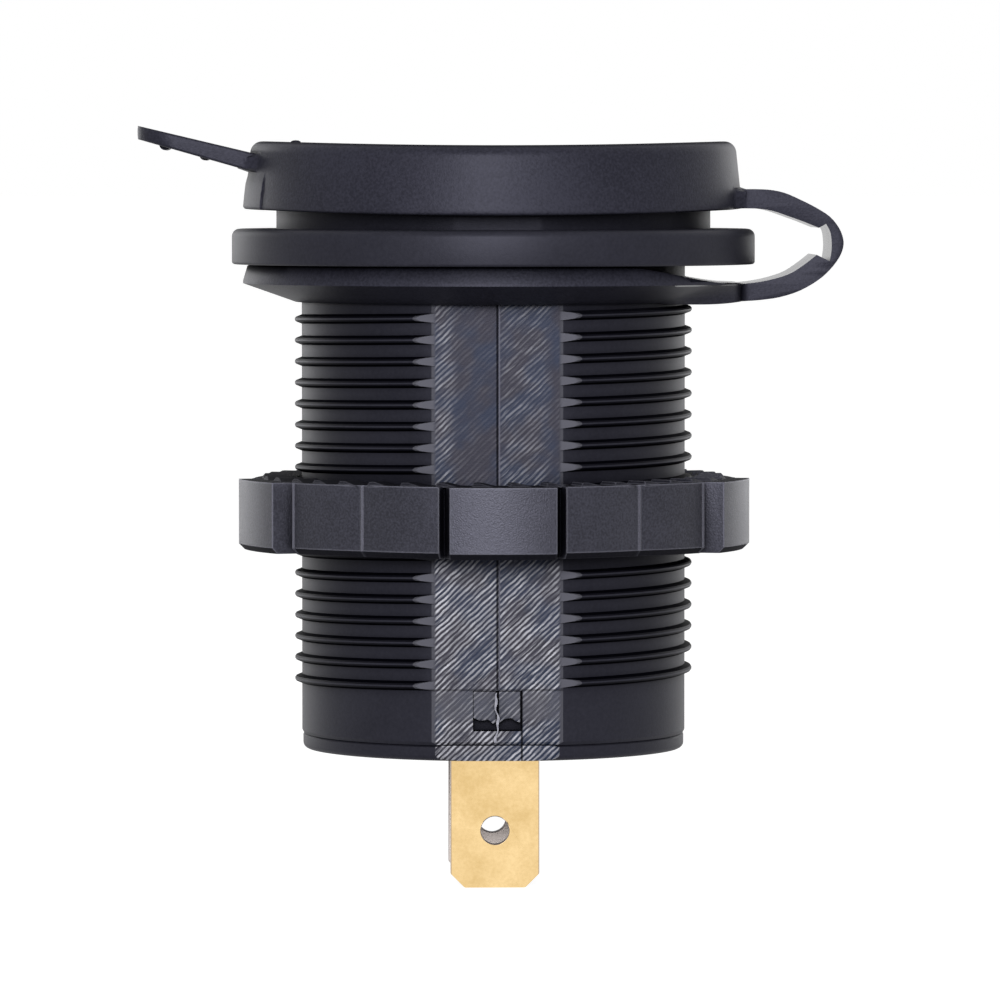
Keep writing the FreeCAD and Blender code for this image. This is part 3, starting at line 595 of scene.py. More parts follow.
def hatching(made, across, level):
    """How much a file has marked the flats: slanted lines in streaks and patches, stronger lower down."""
    turned = made.mapped(made.place, Rotation=(0, math.radians(HATCH_TURN), 0))
    hatch = made.wave(turned, "Z", Scale=0.314 / (HATCH_PITCH * MM), Distortion=2.6, Detail=2.0,
                      Detail_Scale=0.8)
    drawn = made.mapped(turned, Scale=(0.12, 1, 1))
    strokes = made.ramp(made.noise(0.22, detail=2, place=drawn), [(0.38, grey(0.15)), (0.56, grey(1))])
    lines = made.times(made.ramp(hatch, [(0.2, grey(0)), (0.8, grey(1))]), strokes)
    patches = made.ramp(made.noise(1.1, detail=3), [(0.38, grey(0.4)), (0.62, grey(1))])
    side = made.ranged(across, -STREAKS_HALF * MM, STREAKS_HALF * MM)
    streaks = made.ramp(side, [(position, grey(share)) for position, share in STREAKS])
    lower = made.ranged(level, -14.0 * MM, -22.0 * MM, 0.45, 1.3)
    patchy = made.most(patches, made.math("SUBTRACT", lower, 0.7))
    streaky = made.most(streaks, made.math("SUBTRACT", lower, 0.6))
    return made.times(lines, patchy, streaky, lower)


def barrel_plastic():
    """The housing's plastic: painted shade on the thread flanks and in crevices, a painted glint beside the
    seam, and two flats that a file has hatched.
    """
    made = Surface("housing_plastic")
    across, depth, level = made.split(made.place)
    tone = made.mixed(made.noise(6.0, detail=3), made.noise(0.25, detail=1), 0.6)
    plain = made.ramp(tone, [(0.36, (0.008, 0.008, 0.012)), (0.64, (0.014, 0.014, 0.020))])
    # Painted shade: steep faces in the threaded band fall towards deep shade and shine less.
    steep = made.ranged(made.math("ABSOLUTE", made.facing()["Z"]), 0.2, 0.7)
    flank_shade = made.times(made.band(level, (THREAD_TOP + LINE_LEVEL) / 2, 13.8), steep)
    plain = made.blend(flank_shade, plain, DEEP_SHADE)

    flat = made.times(made.math("GREATER_THAN", made.math("ABSOLUTE", depth), (FLAT - 0.1) * MM),
                      made.math("LESS_THAN", level, -0.1 * MM))
    on_flat = made.band(across, 0.0, HATCH_HALF, soft=0.15)
    strength = made.times(hatching(made, across, level), on_flat)
    tint = made.ramp(made.noise(2.5, detail=2),
                     [(0.42, (0.003, 0.008, 0.022)), (0.58, (0.009, 0.008, 0.013))])
    scuffed = made.blend(strength, tint, (0.42, 0.42, 0.46))
    scuffed = made.blend(on_flat, PALE_PLASTIC, scuffed)
    smooth_end = made.times(made.band(level, -30.9, 1.0, soft=0.2), 0.6)
    scuffed = made.blend(smooth_end, scuffed, PALE_PLASTIC)
    above = made.math("GREATER_THAN", level, LINE_LEVEL * MM)
    below = made.math("LESS_THAN", level, LINE_LEVEL * MM)
    glint = made.times(made.band(across, 0.14, 0.05, soft=0.04), above)
    scuffed = made.blend(glint, scuffed, (0.07, 0.07, 0.09))
    seam = made.times(made.band(across, 0.0, 0.08, soft=0.04), above)
    edge = made.times(made.band(across, WINDOW_HALF, 0.08), below)
    step = made.times(made.band(level, LINE_LEVEL, 0.08), 0.6)
    drawn_dark = made.times(made.most(seam, edge, step), flat)
    # Painted shade in crevices, together with the dark lines of the seam, the window's edge and the step.
    open_air = made.times(made.crevice(1.5, 1.1), made.line(drawn_dark, -0.85, 1.0))
    colour = made.blend(open_air, DEEP_SHADE, made.blend(flat, plain, scuffed))

    normal = made.bump(made.noise(0.09, detail=2), 0.008)
    normal = made.bump(made.times(strength, flat), 0.05, under=normal)
    made.shine(0.19, made.times(made.line(flank_shade, -0.18, 0.19), open_air))
    return made.finish(colour, made.line(flat, -0.04, 0.5), normal)


def brass():
    """Bright sheet brass, darker at its cut edges and on the hole's wall, with painted shade on the inner
    faces that look at the other blade.
    """
    made = Surface("brass_sheet")
    across, depth, level = made.split(made.place)
    cloud = made.noise(2.4, detail=4, roughness=0.6)
    speck = made.noise(0.25, detail=2)
    colour = made.ramp(made.mixed(cloud, speck, 0.7),
                       [(0.36, (0.80, 0.56, 0.25)), (0.64, (0.97, 0.71, 0.36))])
    side = made.band(made.math("ABSOLUTE", across), BLADE_HALF, 0.07, soft=0.03)
    colour = made.blend(side, colour, (0.50, 0.38, 0.28))
    # Painted shade: the faces between the two blades are greyer and rougher.
    inside = made.math("LESS_THAN", made.math("ABSOLUTE", depth), (BLADE_OFFSET - 0.1) * MM)
    colour = made.blend(inside, colour, (0.42, 0.38, 0.36))
    away = made.math("SUBTRACT", level, BLADE_HOLE_HEIGHT * MM)
    apart = made.math("SQRT", made.math("ADD", made.times(across, across), made.times(away, away)))
    wall = made.band(apart, 0.0, BLADE_HOLE + 0.05, soft=0.03)
    colour = made.blend(wall, colour, (0.13, 0.11, 0.11))
    rough = made.line(cloud, 0.05, 0.08)
    rough = made.line(made.most(wall, inside), 0.4, rough)
    return made.finish(colour, rough, made.bump(speck, 0.001), Metallic=1.0)


def glossy_plastic(name, colour, rough=0.12):
    made = Surface(name)
    cloud = made.noise(1.2, detail=4)
    shown = made.ramp(cloud, [(0.35, colour), (0.7, tuple(part * 1.35 for part in colour))])
    uneven = made.line(cloud, 0.1, rough)
    normal = made.bump(made.noise(0.9, detail=2), 0.004)
    return made.finish(shown, uneven, normal, Coat_Weight=0.3, Coat_Roughness=0.05)


def smoked_plastic():
    """Clear plastic with a smoke tint."""
    made = Surface("smoked_plastic")
    cloud = made.noise(3.0, detail=2)
    colour = made.ramp(cloud, [(0.35, (0.50, 0.46, 0.46)), (0.65, (0.56, 0.52, 0.52))])
    rough = made.line(cloud, 0.02, 0.02)
    return made.finish(colour, rough, Transmission_Weight=0.95, IOR=1.46)


def sheet_metal(name, colour, rough, drawn=(1, 1, 0.06)):
    """Metal with fine drawing lines along one direction."""
    made = Surface(name)
    lines = made.noise(0.08, detail=2, place=made.mapped(made.place, Scale=drawn))
    shown = made.ramp(lines, [(0.35, colour), (0.65, tuple(min(part * 1.15, 1) for part in colour))])
    uneven = made.line(lines, 0.15, rough)
    return made.finish(shown, uneven, made.bump(lines, 0.003), Metallic=1.0)


def board_material():
    """Green lacquered board with the faint weave of its glass cloth."""
    made = Surface("board_lacquer")
    weave = made.wave(made.place, "DIAGONAL", Scale=1 / (3.0 * MM))
    tone = made.math("ADD", made.times(weave, 0.3), made.noise(2.0))
    colour = made.ramp(tone, [(0.4, (0.015, 0.10, 0.04)), (0.9, (0.04, 0.20, 0.09))])
    return made.finish(colour, 0.35, made.bump(weave, 0.01))


# Housing: one shell with the helical thread running out into the flats

def ridge_rows(number):
    """The rows of one ridge, from its upper foot to its lower foot, as functions of the angle."""
    shape = ((0.0, 1), (0.42, 1), (0.5, 1), (0.5, -1), (0.42, -1), (0.0, -1))
    total = CREST_RADIUS - BARREL_RADIUS

    def half_width(height):
        share = height / total
        rounded = 0.08 if height > 0.45 else 0.0
        return RIDGE_BASE / 2 + (RIDGE_TIP - RIDGE_BASE) / 2 * share - rounded

    def row(height, side):
        def at(angle):
            middle = THREAD_TOP - PITCH * number + PITCH * (angle - 90) / 360
            fade = 1.0
            if number == 0:
                fade = min(1, max(0, (FADE[1] - angle) / (FADE[1] - FADE[0])))
            limit = flat_limit(FLAT, angle)
            reach = min(BARREL_RADIUS + height * fade, limit)
            shown = max(0.0, min(height * fade, limit - BARREL_RADIUS))
            return reach, middle + side * half_width(shown if height else 0.0)
        return at

    return [row(height, side) for height, side in shape]


def housing_mesh():
    def fixed(radius, height, flat=None):
        return lambda angle: (min(radius, flat_limit(flat, angle)), height)

    rows = [
        fixed(RECESS_RADIUS, NECK_TOP),
        fixed(NECK_RADIUS - NECK_CHAMFER, NECK_TOP, NECK_FLAT),
        fixed(NECK_RADIUS - 0.1, NECK_TOP - NECK_CHAMFER + 0.05, NECK_FLAT),
        fixed(NECK_RADIUS, NECK_TOP - NECK_CHAMFER - 0.1, NECK_FLAT),
        fixed(NECK_RADIUS, FLANGE_HEIGHT, NECK_FLAT),
    ]
    top_edge = (FLANGE_RADIUS - FLANGE_ROUND, FLANGE_HEIGHT - FLANGE_ROUND)
    foot_edge = (FLANGE_RADIUS - FLANGE_FOOT_ROUND, FLANGE_FOOT_ROUND)
    rim = arc(top_edge, FLANGE_ROUND, 90, 0, 6) + arc(foot_edge, FLANGE_FOOT_ROUND, 0, -90, 4)
    rows += [fixed(radius, height) for radius, height in rim]
    rows.append(fixed(BARREL_RADIUS, 0, FLAT))
    before = len(rows)
    for number in range(THREAD_TURNS + 1):
        rows += ridge_rows(number)
    after = len(rows)
    rows += [
        fixed(BARREL_RADIUS, SEAM + 0.02 + 2 * EDGE_BREAK, FLAT),
        fixed(BARREL_RADIUS - EDGE_BREAK, SEAM + 0.02, FLAT - EDGE_BREAK),
        fixed(BARREL_BORE, SEAM + 0.02),
        fixed(BARREL_BORE, FACE_SEAT),
        fixed(RECESS_RADIUS, FACE_SEAT),
    ]
    halves = [flat_angle(FLAT, BARREL_RADIUS), flat_angle(FLAT, CREST_RADIUS),
              flat_angle(NECK_FLAT, NECK_RADIUS)]
    columns = columns_for(halves, int(360 / COLUMN_STEP))
    count = len(columns) - 1
    total = len(rows)
    per_ridge = len(ridge_rows(0))

    def corner(row, angle):
        reach, height = row(angle)
        return polar(reach, angle, height)

    vertices = [corner(row, angle) for angle in columns[:-1] for row in rows]
    spare = len(vertices)
    vertices += [corner(row, columns[-1]) for row in rows[before:before + per_ridge]]

    def vertex(column, row):
        """One turn on, each ridge meets the ridge above it; the first ridge ends by itself."""
        if column < count:
            return column * total + row
        if not before <= row < after:
            return row
        if row < before + per_ridge:
            return spare + row - before
        return row - per_ridge

    faces = []
    for column in range(count):
        for row in range(total):
            below = (row + 1) % total
            corners = [vertex(column, row), vertex(column + 1, row),
                       vertex(column + 1, below), vertex(column, below)]
            if column == 0 and row == before - 1:
                corners += [spare + index for index in reversed(range(per_ridge))]
            if column == count - 1 and row == after - 1:
                corners = [vertex(column, row), *range(after - per_ridge - 1, after),
                           vertex(column + 1, below), vertex(column, below)]
            faces.append(tuple(corners))
    return make_object("barrel_housing", vertices, faces)


def make_housing():
    shell = housing_mesh()
    outline = box((-WINDOW_HALF, WINDOW_LOW), (WINDOW_HALF, WINDOW_HIGH))
    boolean(shell, extrude_outline("window_cut", outline, 2 * CREST_RADIUS + 1), "DIFFERENCE")
    shade(shell, 26)
    return shell


def make_rear_cover():
    profile = [(0.01, SEAM), (COVER_RADIUS - EDGE_BREAK, SEAM), (COVER_RADIUS, SEAM - EDGE_BREAK)]
    profile += arc((COVER_RADIUS - COVER_ROUND, COVER_FOOT + COVER_ROUND), COVER_ROUND, 0, -90, 5)
    profile += [(0.01, COVER_FOOT)]
    cover = lathe("cover_disc", profile, flat=FLAT)
    for side in (-1, 1):
        middle = side * BLADE_OFFSET
        slot = box((-BLADE_HALF - SLOT_GAP, middle - 0.5), (BLADE_HALF + SLOT_GAP, middle + 0.5))
        boolean(cover, shift(extrude_outline("slot_cut", slot, 4, axis="Z"), z=COVER_FOOT), "DIFFERENCE")
    shade(cover, 30)
    return cover


def make_hooks():
    """The cover's plug and the two pairs of hooks that show in the latch windows."""
    outer = BARREL_BORE - 0.12
    rise = SEAM + 3.0
    plug = lathe("cover_plug", [(outer, SEAM - 0.3), (outer, rise), (outer - 1.5, rise),
                                (outer - 1.5, SEAM - 0.3)], steps=96)
    left = [(-1.71, HOOK_HIGH), (-1.71, -31.75), (-1.2, -31.98), (-0.62, -31.9), (-0.3, -32.2),
            (-0.1, -32.1), (-0.1, HOOK_HIGH)]
    right = [(0.1, HOOK_HIGH), (0.1, -32.15), (0.5, -31.86), (0.95, -31.78), (1.3, -32.02),
             (1.62, -32.1), (1.62, HOOK_HIGH)]
    stem = [(-1.7, HOOK_HIGH), (-1.7, WINDOW_LOW + 0.02), (1.7, WINDOW_LOW + 0.02), (1.7, HOOK_HIGH)]
    for side in (-1, 1):
        for outline, reach in ((left, HOOK_REACH), (right, HOOK_REACH), (stem, STEM_REACH)):
            near, far = side * (outer - 0.3), side * reach
            hook = shift(extrude_outline("hook", outline, abs(far - near)), y=(near + far) / 2)
            bevel(hook, 0.05)
            boolean(plug, hook, "UNION")
    shade(plug, 40)
    weigh_normals(plug)
    return plug


def make_flash():
    """The thin wavy burr that stands on the front flat between the two hooks."""
    path = []
    for level in spread(-33.5, HOOK_HIGH - 0.1, 24):
        sway = 0.09 * math.sin(2.3 * level) + 0.05 * math.sin(6.1 * level)
        half = 0.07 + 0.03 * math.sin(4.7 * level + 1)
        path.append((sway - 0.04, half, level))
    outline = [(middle + half, level) for middle, half, level in path]
    outline += [(middle - half, level) for middle, half, level in reversed(path)]
    burr = shift(extrude_outline("moulding_flash", outline, 0.5), y=0.15 - FLAT)
    shade(burr, 40)
    return burr


# Ring nut

def nut_outline(grow=0.0, steps=8):
    """The nut's outline: five lobes, a groove beside each, and a fine ridge line halfway between them."""
    edge = math.degrees(math.asin(GROOVE_END / NUT_RADIUS))
    waist = LOBE_STEP / 2 - NUT_LINE_HALF
    points = []
    for lobe in range(LOBES):
        middle = LOBE_TURN + LOBE_STEP * lobe
        half = [(LOBE_RADIUS, turn) for turn in spread(0, LOBE_FACE_HALF, steps)]
        half += [(math.hypot(along, across), math.degrees(math.atan2(across, along)))
                 for along, across in GROOVE]
        half += zip(spread(NUT_RADIUS, NUT_WAIST, steps), spread(edge, waist, steps))
        points += [(reach + grow, middle - turn) for reach, turn in reversed(half[1:])]
        points += [(reach + grow, middle + turn) for reach, turn in half]
        points.append((NUT_WAIST + NUT_LINE + grow, middle + LOBE_STEP / 2))
    return [polar(reach, turn, 0)[:2] for reach, turn in points]


def tooth_rings(turn):
    """Foot and tip of one low radial ridge, which is steep on one side and sloped on the other."""
    beside = (turn - LOBE_TURN + LOBE_STEP / 2) % LOBE_STEP - LOBE_STEP / 2
    outer = TOOTH_OUTER if abs(beside) < LOBE_FACE_HALF else TOOTH_OUTER - 0.2
    rings = []
    for rise, (near, far), inset in ((-0.06, TOOTH_BASE, 0.0), (TOOTH_HEIGHT, TOOTH_TIP, 0.2)):
        inner, end, level = TOOTH_INNER + inset, outer - inset, NUT_TOP + rise
        rings.append([polar(math.hypot(along, across), turn + math.degrees(math.atan2(across, along)), level)
                      for along, across in ((inner, near), (end, near), (end, far), (inner, far))])
    return rings


def make_nut():
    """The ring nut, with the serrations on its front as closed parts of the same mesh."""
    levels = [(NUT_TOP, 0.0), (NUT_FOOT + NUT_CHAMFER, 0.0), (NUT_FOOT, -NUT_CHAMFER)]
    rings = [[(x, y, level) for x, y in nut_outline(grow)] for level, grow in levels]
    turns = [math.degrees(math.atan2(y, x)) for x, y, _ in rings[0]]
    rings += [[polar(NUT_BORE, turn, level) for turn in turns] for level in (NUT_FOOT, NUT_TOP)]
    vertices = [point for ring in rings for point in ring]
    faces = skin_faces(rings, closed=True)
    for tooth in range(TEETH):
        rings = tooth_rings(360 * (tooth + 0.5) / TEETH)
        faces += skin_faces(rings, False, len(vertices))
        vertices += rings[0] + rings[1]
    nut = make_object("grip_nut", vertices, faces)
    shade(nut, 25)
    return nut


# Terminal blades

def make_blade(name, side):
    outline = [(-BLADE_HALF, BLADE_TOP), (-BLADE_HALF, BLADE_TIP + BLADE_CORNER),
               (-BLADE_HALF + BLADE_CORNER, BLADE_TIP), (BLADE_HALF - BLADE_CORNER, BLADE_TIP),
               (BLADE_HALF, BLADE_TIP + BLADE_CORNER), (BLADE_HALF, BLADE_TOP)]
    hole = arc((0, BLADE_HOLE_HEIGHT), BLADE_HOLE, 0, 360, 40)[:-1]
    blade = shift(extrude_outline(name, outline, BLADE_THICKNESS, holes=[hole]), y=side * BLADE_OFFSET)
    bevel(blade, 0.07, segments=2, angle=40)
    shade(blade, 10)
    return blade


# Rubber moulding: cap with tab and strap, and the tether ring, in one piece

STRAP_OUTER = [(16.6, 5.36), (18.2, 5.37), (19.5, 5.35), (20.65, 5.13), (21.8, 4.64), (22.93, 4.07),
               (23.93, 3.42), (24.58, 2.62), (24.88, 1.84), (24.87, 1.19), (24.58, 0.48),
               (23.93, -0.37), (23.08, -1.12), (21.79, -1.86), (20.37, -2.32), (18.93, -2.53),
               (17.6, -2.62), (16.4, -2.72)]
STRAP_LOWER_INNER = [(16.4, -1.38), (17.9, -1.36), (19.5, -1.12), (20.93, -0.70), (21.9, -0.14),
                     (22.99, 0.70)]
STRAP_NOTCH = [(23.92, 0.24), (24.04, 0.95), (24.05, 1.62), (23.95, 2.33), (23.65, 2.91)]
STRAP_UPPER_INNER = [(23.15, 2.62), (22.08, 3.05), (20.91, 3.47), (19.79, 3.84), (18.6, 4.0), (16.6, 3.99)]
TAB_TOP = ((-17.15, 7.93), (-24.95, 9.78))
TAB_UNDER = ((-17.64, 6.72), (-25.42, 8.93))
TAB_ROOT = (6.72, 7.95)
GRIPS = [(-23.5, 8.58), (-20.65, 7.85)]


def eased(value, start, end):
    """A smooth step from 0 at the start to 1 at the end."""
    share = min(1.0, max(0.0, (value - start) / (end - start)))
    return share * share * (3 - 2 * share)


def fillet(across, level, half, root):
    """Height of the fillet in a wall beside a root of this half width between two levels."""
    away = max(0.0, abs(across) - half)
    if away >= ROOT_FILLET or not root[0] < level < root[1]:
        return 0.0
    return ROOT_FILLET - math.sqrt(ROOT_FILLET ** 2 - (ROOT_FILLET - away) ** 2)


def close_angles(edge):
    """Angles round the cap: closer together beside tab and strap, and at the pad's two edges."""
    angles = {float(a) for a in range(360) if a % 2 == 0 or abs(a % 180 - 90) > 55}
    for turn in (180 - edge, 180 + edge):
        angles = {a for a in angles if abs(a - turn) > 0.4} | {turn - 0.12, turn + 0.12}
    return sorted(angles)


def make_cap_shell():
    foot = CAP_BOTTOM + CAP_EDGE
    shoulder = CAP_TOP - CAP_ROUND
    rows = 14
    profile = [(CAP_INSIDE, CAP_BOTTOM + 0.25), (CAP_INSIDE + 0.25, CAP_BOTTOM)]
    profile += arc((CAP_RADIUS - CAP_EDGE, foot), CAP_EDGE, -90, 0, 3)
    profile += list(zip(spread(CAP_RADIUS, CAP_TOP_RADIUS, rows), spread(foot, shoulder, rows)))[1:-1]
    profile += arc((CAP_TOP_RADIUS - CAP_ROUND, shoulder), CAP_ROUND, 0, 90, 8)
    profile += [(8.0, CAP_TOP), (0.01, CAP_TOP), (0.01, CAP_CEILING), (CAP_INSIDE - 0.4, CAP_CEILING),
                (CAP_INSIDE, CAP_CEILING - 0.4)]
    pad_edge = math.degrees(math.asin(PAD_HALF / CAP_RADIUS))
    cap = lathe("rubber_moulding", profile, angles=close_angles(pad_edge))
    for corner in cap.data.vertices:
        x, y, z = (part / MM for part in corner.co)
        reach = math.hypot(x, y)
        proud = 0.0
        if reach > CAP_INSIDE + 0.5 and z < CAP_TOP - 0.05:
            root, half = (TAB_ROOT, TAB_HALF) if x < 0 else (STRAP_ROOT, STRAP_HALF)
            proud = fillet(y, z, half, root)
            if x < 0 and abs(y) < PAD_HALF:
                proud = max(proud, PAD_PROUD * (1 - eased(z, PAD_TOP - PAD_FADE, PAD_TOP)))
        if abs(z - CAP_CEILING) > 0.01 or reach > CAP_INSIDE - 0.3:
            z += CAP_SAG * ((x / CAP_RADIUS) ** 2 - 1)
        grow = 1 + proud / reach
        corner.co = (x * grow * MM, y * grow * MM, z * MM)
    return cap


def on_line(line, across):
    """Height at which a line through two points crosses this place."""
    (x0, z0), (x1, z1) = line
    return z0 + (z1 - z0) * (across - x0) / (x1 - x0)


def make_tab():
    """Sections from the cap's wall to the rounded tip, each with rounded corners."""
    start = TAB_TIP - TAB_CORNER
    stations = [(-16.2, TAB_HALF), (-18.0, TAB_HALF), (-20.5, TAB_HALF)]
    stations += arc((-start, TAB_HALF - TAB_CORNER), TAB_CORNER, 90, 180, 9)
    rings = []
    for across, half in stations:
        low, high = on_line(TAB_UNDER, across), on_line(TAB_TOP, across)
        thick = high - low - (2 * TAB_TIP_ROUND if (across, half) == stations[-1] else 0)
        section = rectangle((0, (low + high) / 2), (2 * half, thick), TAB_EDGE)
        rings.append([(across, y, z) for y, z in section])
    return skin("tab", rings, closed=False)


def make_strap():
    outline = []
    for line, steps in ((STRAP_OUTER, 3), (STRAP_LOWER_INNER, 3), (STRAP_NOTCH, 4), (STRAP_UPPER_INNER, 3)):
        outline += smooth_line(line, steps)
    strap = extrude_outline("strap", outline, 2 * STRAP_HALF)
    bevel(strap, 0.12, segments=2, angle=50)
    return strap


def make_ring():
    """The tether ring: it droops from the flange and its cone flares out towards the strap."""
    profile = [(RING_BORE, RING_FOOT)]
    profile += [(reach, -0.02) for reach in spread(RING_BORE, RING_RADIUS - 0.15, 8)]
    profile += [(RING_RADIUS, -0.15), (RING_RIM_RADIUS, RING_RIM + 0.1)]
    profile += zip(spread(RING_RIM_RADIUS, RING_FOOT_RADIUS, 4), spread(RING_RIM - 0.1, RING_FOOT, 4))
    ring = lathe("ring", profile, angles=close_angles(20))
    for corner in ring.data.vertices:
        x, y, z = (part / MM for part in corner.co)
        z = min(z, -0.02 - RING_DROOP * eased(x, DROOP_START, DROOP_END))
        near = (1 - eased(abs(y), STRAP_HALF, FLARE_EASE)) * eased(x, 8, 12)
        if z < RING_RIM - 0.05 and math.hypot(x, y) > RING_BORE + 0.1:
            x += max(0.0, FLARE_REACH - x) * near
        if z < RING_FOOT + 0.05:
            z += 0.08 * near - 0.6 * near * (1 - near)
        corner.co = (x * MM, y * MM, z * MM)
    return ring


def make_rubber():
    cap = make_cap_shell()
    boolean(cap, make_tab(), "UNION")
    for reach, height in GRIPS:
        rib = extrude_outline("grip", arc((reach, height), GRIP_RADIUS, 0, 360, 20)[:-1],
                              2 * (TAB_HALF - 1.2))
        bevel(rib, 0.15)
        boolean(cap, rib, "UNION")
    mark = lathe("gate_mark", [(0.01, 8.5), (0.4, 8.5), (0.35, 8.8), (0.2, 8.87), (0.01, 8.89)], steps=24)
    boolean(cap, shift(mark, x=GATE_MARK), "UNION")
    strap = make_strap()
    boolean(strap, make_ring(), "UNION")
    boolean(cap, strap, "UNION")
    shade(cap, 38)
    weigh_normals(cap)
    return cap


# Face: plate, window, display and ports

PORTS = (-6.3, 6.3)
OPENING = (5.12, 12.5)
PLATE_RADIUS = 14.4
PLATE_TOP = 6.5
WINDOW = (5.8, 15.0)
LENS_LOW = 5.3
LENS_HIGH = 6.4
DISPLAY_TOP = 4.9
DIGIT_HEIGHT = 3.8
DIGIT_WIDTH = 2.2
DIGIT_PITCH = 4.2
SEGMENT = 0.46


def slab(name, outline, low, high, holes=(), edge=0.0):
    """An upright slab between two heights, with softened edges."""
    made = shift(extrude_outline(name, outline, high - low, axis="Z", holes=holes), z=(high + low) / 2)
    if edge:
        bevel(made, edge, segments=2, angle=50)
    shade(made, 30)
    return made


def make_face():
    plate = slab("face_disc", arc((0, 0), PLATE_RADIUS, 0, 360, 120)[:-1], FACE_SEAT, PLATE_TOP,
                 holes=[rectangle((x, 0), OPENING) for x in PORTS] + [rectangle((0, 0), WINDOW, 0.6)],
                 edge=0.12)
    lens = slab("face_lens", rectangle((0, 0), [part - 0.1 for part in WINDOW], 0.55),
                LENS_LOW, LENS_HIGH, edge=0.08)
    return plate, lens


def make_digits():
    """Three unlit seven-segment digits on the display's face, read with the hinge at the top."""
    across, high = DIGIT_WIDTH / 2, DIGIT_HEIGHT / 2
    segments = [(0, up, False) for up in (-high, 0, high)]
    segments += [(side, up, True) for side in (-across, across) for up in (-high / 2, high / 2)]
    vertices, faces = [], []
    for digit in (-1, 0, 1):
        for side, up, upright in segments:
            half = (high / 2 if upright else across) - 0.1
            thick = SEGMENT / 2
            bar = [(-half, 0), (thick - half, thick), (half - thick, thick), (half, 0),
                   (half - thick, -thick), (thick - half, -thick)]
            start = len(vertices)
            for level in (DISPLAY_TOP, DISPLAY_TOP + 0.05):
                for along, beside in bar:
                    right, rise = (beside, along) if upright else (along, beside)
                    vertices.append((up + rise, -(digit * DIGIT_PITCH + side + right), level))
            faces += [tuple(range(start, start + 6)), tuple(range(start + 11, start + 5, -1))]
            faces += [(start + index, start + (index + 1) % 6, start + 6 + (index + 1) % 6, start + 6 + index)
                      for index in range(6)]
    return make_object("display_segments", vertices, faces)


def paint(thing, material):
    """Make this the object's only material."""
    thing.data.materials.clear()
    thing.data.materials.append(material)


def add_piece(thing, material, body, slot, *nodes):
    """Give a piece its material and its body, and hide the frame nodes that it stands for. The slot is not
    used.
    """
    paint(thing, material)
    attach(thing, body)
    if nodes:
        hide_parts(*nodes)


nut_plastic = moulded("nut_plastic", (0.0, 0.0, 0.001), (0.018, 0.018, 0.025), 0.44,
                      grain=0.1, grain_depth=0.017, shine=0.50, edge_highlight=(0.13, 0.13, 0.16), shade_and_dullness=level_faces)
rubber = moulded("black_rubber", (0.009, 0.009, 0.014), (0.019, 0.019, 0.028), 0.5,
                 grain=0.12, grain_depth=0.013, shine=0.18, smooth=tether_smoothness, shade_and_dullness=rubber_shade_and_dullness)
whitened = moulded("whitened_edge", (0.16, 0.16, 0.19), (0.30, 0.30, 0.34), 0.5)
barrel = barrel_plastic()
brass_sheet = brass()
gloss_black = glossy_plastic("gloss_black", (0.012, 0.012, 0.014))
smoked = smoked_plastic()
segment_red = glossy_plastic("segment_red", (0.30, 0.03, 0.025), rough=0.35)

add_piece(make_housing(), barrel, "housing", "nylon_black", "housing")
add_piece(make_rear_cover(), barrel, "housing", "cover_black", "rear_cover")
add_piece(make_hooks(), barrel, "housing", "cover_black")
add_piece(make_flash(), whitened, "housing", "cover_black")
add_piece(make_nut(), nut_plastic, "nut", "nut_black", "ring_nut")
add_piece(make_blade("blade_front", -1), brass_sheet, "housing", "brass_sheet", "blade_positive")
add_piece(make_blade("blade_rear", 1), brass_sheet, "housing", "brass_sheet", "blade_negative")
plate, lens = make_face()
add_piece(plate, gloss_black, "housing", "gloss_black", "face_plate")
add_piece(lens, smoked, "housing", "smoked_lens", "display_window")
add_piece(make_digits(), segment_red, "housing", "gloss_black")

moulding = make_rubber()
paint(moulding, rubber)
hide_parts("dust_cap", "tether_ring", "hinge_web")
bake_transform(moulding)

# Pieces that keep the frame's own mesh
CARRIED = {
    "led_display": glossy_plastic("display_body", (0.03, 0.03, 0.033), rough=0.4),
    "port_shell_upper": sheet_metal("port_sheet", (0.60, 0.60, 0.62), 0.25),
    "port_tongue_upper": glossy_plastic("port_insulator", (0.62, 0.62, 0.60), rough=0.35),
    "port_contacts_upper": sheet_metal("contact_gold", (0.83, 0.60, 0.24), 0.2),
    "front_board": board_material(),
    "driver_chip": moulded("chip_black", (0.02, 0.02, 0.02), (0.03, 0.03, 0.03), 0.5),
    "inductor_core": moulded("ferrite", (0.05, 0.05, 0.055), (0.08, 0.08, 0.085), 0.6),
    "inductor_winding": sheet_metal("copper_wire", (0.70, 0.30, 0.13), 0.3, drawn=(1, 1, 4)),
    "capacitor_input": sheet_metal("capacitor_can", (0.72, 0.72, 0.74), 0.3),
}
SAME_AS = {"board_pins": "port_contacts_upper", "power_board": "front_board",
           "regulator_chip": "driver_chip", "capacitor_output": "capacitor_input"}
for node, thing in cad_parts.items():
    twin = node.replace("_lower", "_upper")
    material = CARRIED.get(SAME_AS.get(twin, twin))
    if material:
        paint(thing, material)


# Stage, light and camera

def emission_for_rays(made, dim, bright):
    """A strength that is bright for camera, mirror and transmission rays and dim for the rest."""
    path = made.add("ShaderNodeLightPath").outputs
    seen = made.most(path["Is Camera Ray"], path["Is Glossy Ray"], path["Is Transmission Ray"])
    return made.ranged(seen, 0.0, 1.0, dim, bright)


def make_world():
    world = bpy.data.worlds.new("studio")
    world.use_nodes = True
    bpy.context.scene.world = world
    made = Tree(world.node_tree)
    background = made.tree.nodes["Background"]
    background.inputs["Color"].default_value = (1, 1, 1, 1)
    made.link(emission_for_rays(made, 0.25, 1.0), background.inputs["Strength"])


